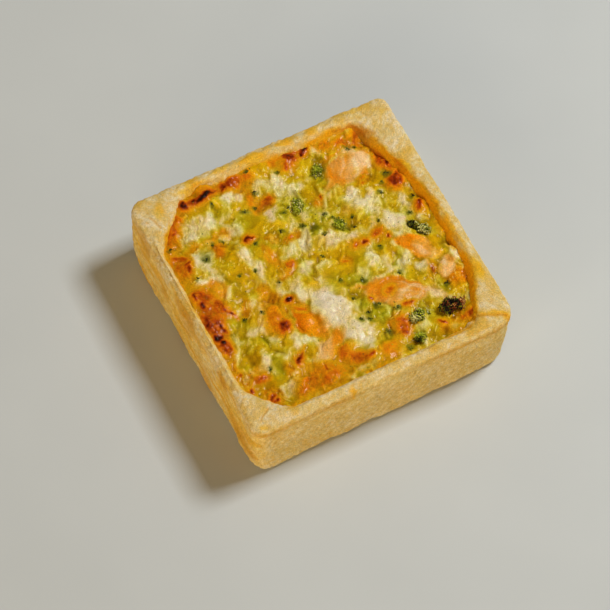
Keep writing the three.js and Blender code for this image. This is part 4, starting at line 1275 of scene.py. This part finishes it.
def make_pastry():
    """The shell as one closed mesh with crumbly relief and creased corners."""
    rings = refined(pastry_rings(), RING_SPACING)
    count = rings.shape[1]
    points = rings.reshape(-1, 3)
    x, y, z = points.T
    facing = grid_normals(rings).reshape(-1, 3)
    outside = np.hypot(x, y) > inner_reach(np.arctan2(y, x))
    relief = pastry_relief(points) * np.where(outside, clamped(z / 0.5), rising(z, 16, 19))
    tint = pastry_tint(points, facing)
    for start, end, width, depth, brownness in CREASES:
        near = bell(distance_to_line(points, start, end) / width) * (z > 21)
        relief -= depth * near
        tint = mix(tint, CRUST_BROWN if brownness > 0 else CRUST_PALE, abs(brownness) * near)
    points = points + facing * relief[:, None]
    points[:, 2] = np.maximum(points[:, 2], 0)
    points = np.vstack([points, [[0, 0, 0], [0, 0, FLOOR_THICKNESS]]])
    layers = {"tint": np.vstack([tint, [CRUST, CRUST]])}
    ring = np.arange(count)
    faces = ring_faces(len(rings), count).tolist()
    faces += fan(len(points) - 2, ring[::-1])
    faces += fan(len(points) - 1, ring + (len(rings) - 1) * count)
    add_piece("pastry_crust", points, faces, layers, pastry_material(), ["pastry"])


# Filling: how far its top reaches into the wall, how far its sides stay clear of it, and
# where its underside lies.
FILLING_OVERLAP = 0.2
FILLING_GAP = 0.3
FILLING_BOTTOM = FLOOR_THICKNESS + 0.2


def make_filling(plan):
    """The filling as one closed body whose top follows the plan."""
    count = FILLING_SQUARES + 1
    axis = np.linspace(-1, 1, count)
    u, v = (side.ravel() for side in np.meshgrid(axis, axis))
    outward = np.maximum(np.abs(u), np.abs(v))
    angles = np.arctan2(v, u)
    edge = inner_reach(angles)
    level = plan.at(plan.height, edge * np.cos(angles), edge * np.sin(angles))
    fitted = edge * (1 - (wall_inset(angles, level) - FILLING_OVERLAP) / HALF_WIDTH)
    inner = HALF_WIDTH - RIM_RIGHT
    x = between(u * inner, outward * fitted * np.cos(angles), outward ** 4)
    y = between(v * inner, outward * fitted * np.sin(angles), outward ** 4)
    points = np.stack([x, y, plan.at(plan.height, x, y)], -1)
    tint = plan.at(plan.tint, x, y)
    wet = plan.at(plan.wet, x, y)
    grid = np.arange(count * count).reshape(count, count)
    corners = [grid[:-1, :-1], grid[:-1, 1:], grid[1:, 1:], grid[1:, :-1]]
    faces = np.stack(corners, -1).reshape(-1, 4)
    border = np.concatenate([grid[0, :-1], grid[:-1, -1], grid[-1, :0:-1], grid[:0:-1, 0]])
    upper = border
    angles = np.arctan2(y[border], x[border])
    for height in (KNEE_HEIGHT, HEEL_HEIGHT, FILLING_BOTTOM):
        inset = wall_inset(angles, height) + FILLING_GAP
        lower = len(points) + np.arange(len(border))
        points = np.vstack([points, ring_at(angles, inner_reach(angles), -inset, height)])
        side = np.stack([lower, np.roll(lower, -1), np.roll(upper, -1), upper], -1)
        faces = np.vstack([faces, side])
        tint = np.vstack([tint, tint[border]])
        wet = np.concatenate([wet, wet[border]])
        upper = lower
    points = np.vstack([points, [[0, 0, FILLING_BOTTOM]]])
    faces = faces.tolist() + fan(len(points) - 1, upper[::-1])
    layers = {"tint": np.vstack([tint, tint[:1]]), "wet": np.append(wet, 0)}
    material = moist_material("custard and cheese", 0.13, 0.3, 0.3)
    add_piece("filling_top", points, faces, layers, material, ["filling"])


def ball_template(subdivisions):
    """Points and triangles of a round ball of radius 1."""
    shape = bmesh.new()
    bmesh.ops.create_icosphere(shape, subdivisions=subdivisions, radius=1)
    points = np.array([vertex.co for vertex in shape.verts])
    faces = np.array([[vertex.index for vertex in face.verts] for face in shape.faces])
    shape.free()
    return points, faces


def make_salmon(plan):
    """Salmon pieces: bent boxy lumps with flakes, whose tops follow the plan."""
    material = moist_material("baked salmon", 0.08, 0.4, 0.16)
    ball, faces = ball_template(SALMON_SUBDIVISIONS)
    full = np.sign(ball) * np.abs(ball) ** SALMON_FULLNESS
    for number, piece in enumerate(SALMON, 1):
        centre_x, centre_y, length, width, turn, height, bend = piece
        along = full[:, 0] * length / 2
        across = full[:, 1] * width / 2 + bend * (1 - full[:, 0] ** 2)
        flake = np.cos(2 * math.pi * (along + 0.4 * across) / FLAKE_WIDTH)
        x, y = turned(along, across, -turn)
        x, y = x + centre_x, y + centre_y
        middle = float(filling_height(centre_x, centre_y)) + SALMON_RISE - height / 2
        upper = clamped(2.5 * ball[:, 2])
        z = middle + full[:, 2] * height / 2 + FLAKE_DEPTH * flake * np.maximum(0, ball[:, 2])
        least = plan.at(plan.height, x, y) - 0.1 + 0.6 * (1 - oval_distance(piece, x, y, bend))
        z = np.where(upper > 0, np.maximum(z, least), z)
        z = z + upper * (plan.at(plan.flake, x, y) + 0.1 * rough(x / 1.6, y / 1.6, 131, 2))
        layers = {"tint": plan.at(plan.tint, x, y), "wet": plan.at(plan.wet, x, y)}
        points = np.stack([x, y, z], -1)
        name = f"salmon_{number}"
        add_piece(f"{name}_flesh", points, faces.tolist(), layers, material, [name])


# Broccoli: colours of buds from fresh to burnt, each a pair that they vary between.
# Roasted bits of bud; the light end of this pair is painted highlight.
ROAST_AND_HIGHLIGHT = rgb((140, 72, 24), (222, 170, 104))
FRESH = rgb((142, 156, 16), (204, 204, 72))
MOSS = rgb((78, 90, 10), (142, 148, 26))
DARK = rgb((36, 42, 8), (92, 100, 20))
PALE = rgb((176, 176, 92), (224, 216, 148))
BURNT = rgb((16, 12, 7), (48, 34, 16))
CRISP = rgb((66, 22, 12), (150, 74, 34))

# Shares of each colour in each floret, each sprig, each crumb and the loose bits.
FLORET_LOOKS = [
    [(BURNT, 0.5), (MOSS, 0.12), (CRISP, 0.2), (ROAST_AND_HIGHLIGHT, 0.18)],
    [(DARK, 0.35), (BURNT, 0.15), (MOSS, 0.2), (PALE, 0.3)],
    [(PALE, 0.55), (FRESH, 0.2), (DARK, 0.25)],
    [(FRESH, 0.65), (MOSS, 0.2), (PALE, 0.15)],
]
SPRIG_LOOKS = [
    [(FRESH, 0.65), (MOSS, 0.2), (PALE, 0.15)],
    [(FRESH, 0.6), (MOSS, 0.2), (PALE, 0.2)],
    [(BURNT, 0.3), (DARK, 0.25), (FRESH, 0.45)],
]
CRUMB_LOOK = [(DARK, 0.45), (BURNT, 0.3), (MOSS, 0.25)]
BIT_LOOK = [(DARK, 0.3), (MOSS, 0.4), (FRESH, 0.3)]
BUDS_PER_CLUMP = 90
BUDS_PER_CRUMB = 28
LOOSE_BITS = 420
LOOSE_REACH = 36
FLORET_SEED = 200
CRUMB_SEED = 300

# Smallest and largest radius of a bud in florets and sprigs, in crumbs and in loose bits.
BUD_SIZES = (0.1, 0.22)
CRUMB_SIZES = (0.1, 0.2)
BIT_SIZES = (0.08, 0.16)

BALL_POINTS, BALL_FACES = ball_template(BUD_SUBDIVISIONS)


class Buds:
    """Many small lumpy balls that are joined into one mesh."""

    def __init__(self, seed):
        self.draw = np.random.default_rng(seed)
        self.points = []
        self.faces = []
        self.tints = []

    def add(self, place, sizes, colour):
        size = self.draw.uniform(*sizes) * self.draw.uniform(0.7, 1.3, 3)
        lumpy = BALL_POINTS * (1 + 0.12 * self.draw.normal(size=(len(BALL_POINTS), 1)))
        self.faces.append(BALL_FACES + len(BALL_POINTS) * len(self.points))
        self.points.append(lumpy * size + place)
        self.tints.append(np.tile(colour, (len(BALL_POINTS), 1)))

    def colour(self, shares, pick):
        """The colour at a place from 0 to 1 in the shares of some pairs of colours."""
        pick = min(max(pick, 0), 0.999)
        for pair, share in shares:
            if pick < share:
                break
            pick -= share
        return mix(*pair, self.draw.random())

    def piece(self, name, material, replaced=()):
        layers = {"tint": np.concatenate(self.tints)}
        faces = np.concatenate(self.faces).tolist()
        points = np.concatenate(self.points)
        add_piece(name, points, faces, layers, material, replaced)


def grow_floret(buds, floret, shares):
    """Clumps in a spiral over an oval, each covered with many small buds."""
    x, y, length, width, turn, clumps = floret
    for clump in range(clumps):
        reach = math.sqrt((clump + 0.6) / clumps)
        along = reach * math.cos(clump * GOLDEN_TURN) * (length / 2 - CLUMP_SPREAD * CLUMP_RADIUS)
        across = reach * math.sin(clump * GOLDEN_TURN) * (width / 2 - CLUMP_SPREAD * CLUMP_RADIUS)
        step_x, step_y = turned(along, across, -turn)
        middle_x, middle_y = x + step_x, y + step_y
        radius = CLUMP_RADIUS * (1 + (CLUMP_SPREAD - 1) * chance(clump, 40))
        level = float(filling_height(middle_x, middle_y)) + CLUMP_RISE + CROWN_RISE * (1 - reach)
        for bud in range(BUDS_PER_CLUMP):
            drop = 1 - 1.5 * (bud + 0.5) / BUDS_PER_CLUMP
            out = math.sqrt(1 - drop ** 2)
            around = bud * GOLDEN_TURN + buds.draw.normal(0, 0.3)
            towards = np.array([out * math.cos(around), out * math.sin(around), drop])
            lobes = 1 + 0.2 * math.cos(3.1 * around + clump)
            bulge = radius * buds.draw.uniform(0.66, 1.12) * lobes
            place = (middle_x, middle_y, level) + bulge * towards
            group = float(noise_in_space(place, 1.7, 141))
            pick = 0.5 + 0.7 * group + 0.1 * (middle_x - x) + buds.draw.normal(0, 0.1)
            # Buds lower on the clump are darker: painted shade.
            buds.add(place, BUD_SIZES, buds.colour(shares, pick) * (0.85 + 0.3 * drop))


def make_broccoli(plan):
    """Florets as pieces of their own, and the sprigs and crumbs together."""
    material = broccoli_material()
    for number, (floret, shares) in enumerate(zip(FLORETS, FLORET_LOOKS), 1):
        buds = Buds(FLORET_SEED + number)
        grow_floret(buds, floret, shares)
        buds.piece(f"floret_{number}_buds", material, [f"floret_{number}"])
    buds = Buds(CRUMB_SEED)
    for sprig, shares in zip(SPRIGS, SPRIG_LOOKS):
        grow_floret(buds, sprig, shares)
    for x, y, size in CRUMBS:
        for _ in range(round(BUDS_PER_CRUMB * size)):
            place_x, place_y = (x, y) + buds.draw.normal(0, 0.42 * size, 2)
            level = float(plan.at(plan.height, place_x, place_y)) + buds.draw.uniform(-0.12, 0.06)
            colour = buds.colour(CRUMB_LOOK, buds.draw.random())
            buds.add((place_x, place_y, level), CRUMB_SIZES, colour)
    for _ in range(LOOSE_BITS):
        x, y = buds.draw.uniform(-LOOSE_REACH, LOOSE_REACH, 2)
        level = float(plan.at(plan.height, x, y)) - 0.04
        buds.add((x, y, level), BIT_SIZES, buds.colour(BIT_LOOK, buds.draw.random()))
    buds.piece("broccoli_crumbs", material)


def make_floor():
    """A plain pale floor under the quiche."""
    mesh = bpy.data.meshes.new("floor")
    low, high = -FLOOR_REACH, FLOOR_REACH
    corners = [(low, low, 0), (high, low, 0), (high, high, 0), (low, high, 0)]
    mesh.from_pydata(corners, [], [(0, 1, 2, 3)])
    mesh.materials.append(floor_material())
    floor = bpy.data.objects.new("floor", mesh)
    bpy.context.scene.collection.objects.link(floor)


def direction(azimuth, elevation):
    """The direction towards a viewer at that azimuth and elevation."""
    a, e = math.radians(azimuth), math.radians(elevation)
    return Vector((math.sin(a) * math.cos(e), -math.cos(a) * math.cos(e), math.sin(e)))


def hang(name, data, location, back):
    """Places a camera or lamp so that it looks the other way than back."""
    item = bpy.data.objects.new(name, data)
    item.location = location
    item.rotation_mode = "QUATERNION"
    item.rotation_quaternion = (-back).to_track_quat("-Z", "Y")
    bpy.context.scene.collection.objects.link(item)
    return item


def make_camera():
    """The camera at the picture's viewing angle."""
    back = direction(CAMERA_AZIMUTH, CAMERA_ELEVATION)
    right = Vector((0, 0, 1)).cross(back).normalized()
    aim = Vector(AIM_OVER) + AIM_RIGHT * right + AIM_UP * back.cross(right)
    data = bpy.data.cameras.new("camera")
    data.sensor_width = SENSOR_WIDTH
    data.lens = FOCAL_PIXELS / PICTURE_PIXELS * SENSOR_WIDTH
    data.clip_start, data.clip_end = CAMERA_CLIP
    place = (aim + CAMERA_DISTANCE * back) * METRES
    bpy.context.scene.camera = hang("camera", data, place, back)


def add_lamp(name, azimuth, elevation, distance, size, watts, colour):
    """A square lamp that faces the quiche."""
    data = bpy.data.lights.new(name, "AREA")
    data.shape = "SQUARE"
    data.size = size
    data.energy = watts
    data.color = colour
    back = direction(azimuth, elevation)
    hang(name, data, back * distance, back)


def make_lights():
    """The two lamps, the sky and plain colours."""
    sky = bpy.data.worlds.new("sky")
    sky.use_nodes = True
    background = sky.node_tree.nodes["Background"]
    background.inputs["Color"].default_value = (*SKY_COLOUR, 1)
    background.inputs["Strength"].default_value = SKY_STRENGTH
    bpy.context.scene.world = sky
    add_lamp("key", *KEY_LAMP)
    add_lamp("fill", *FILL_LAMP)
    bpy.context.scene.view_settings.view_transform = "Standard"


make_camera()
make_lights()
make_floor()
top_plan = make_plan()
make_pastry()
make_filling(top_plan)
make_salmon(top_plan)
make_broccoli(top_plan)
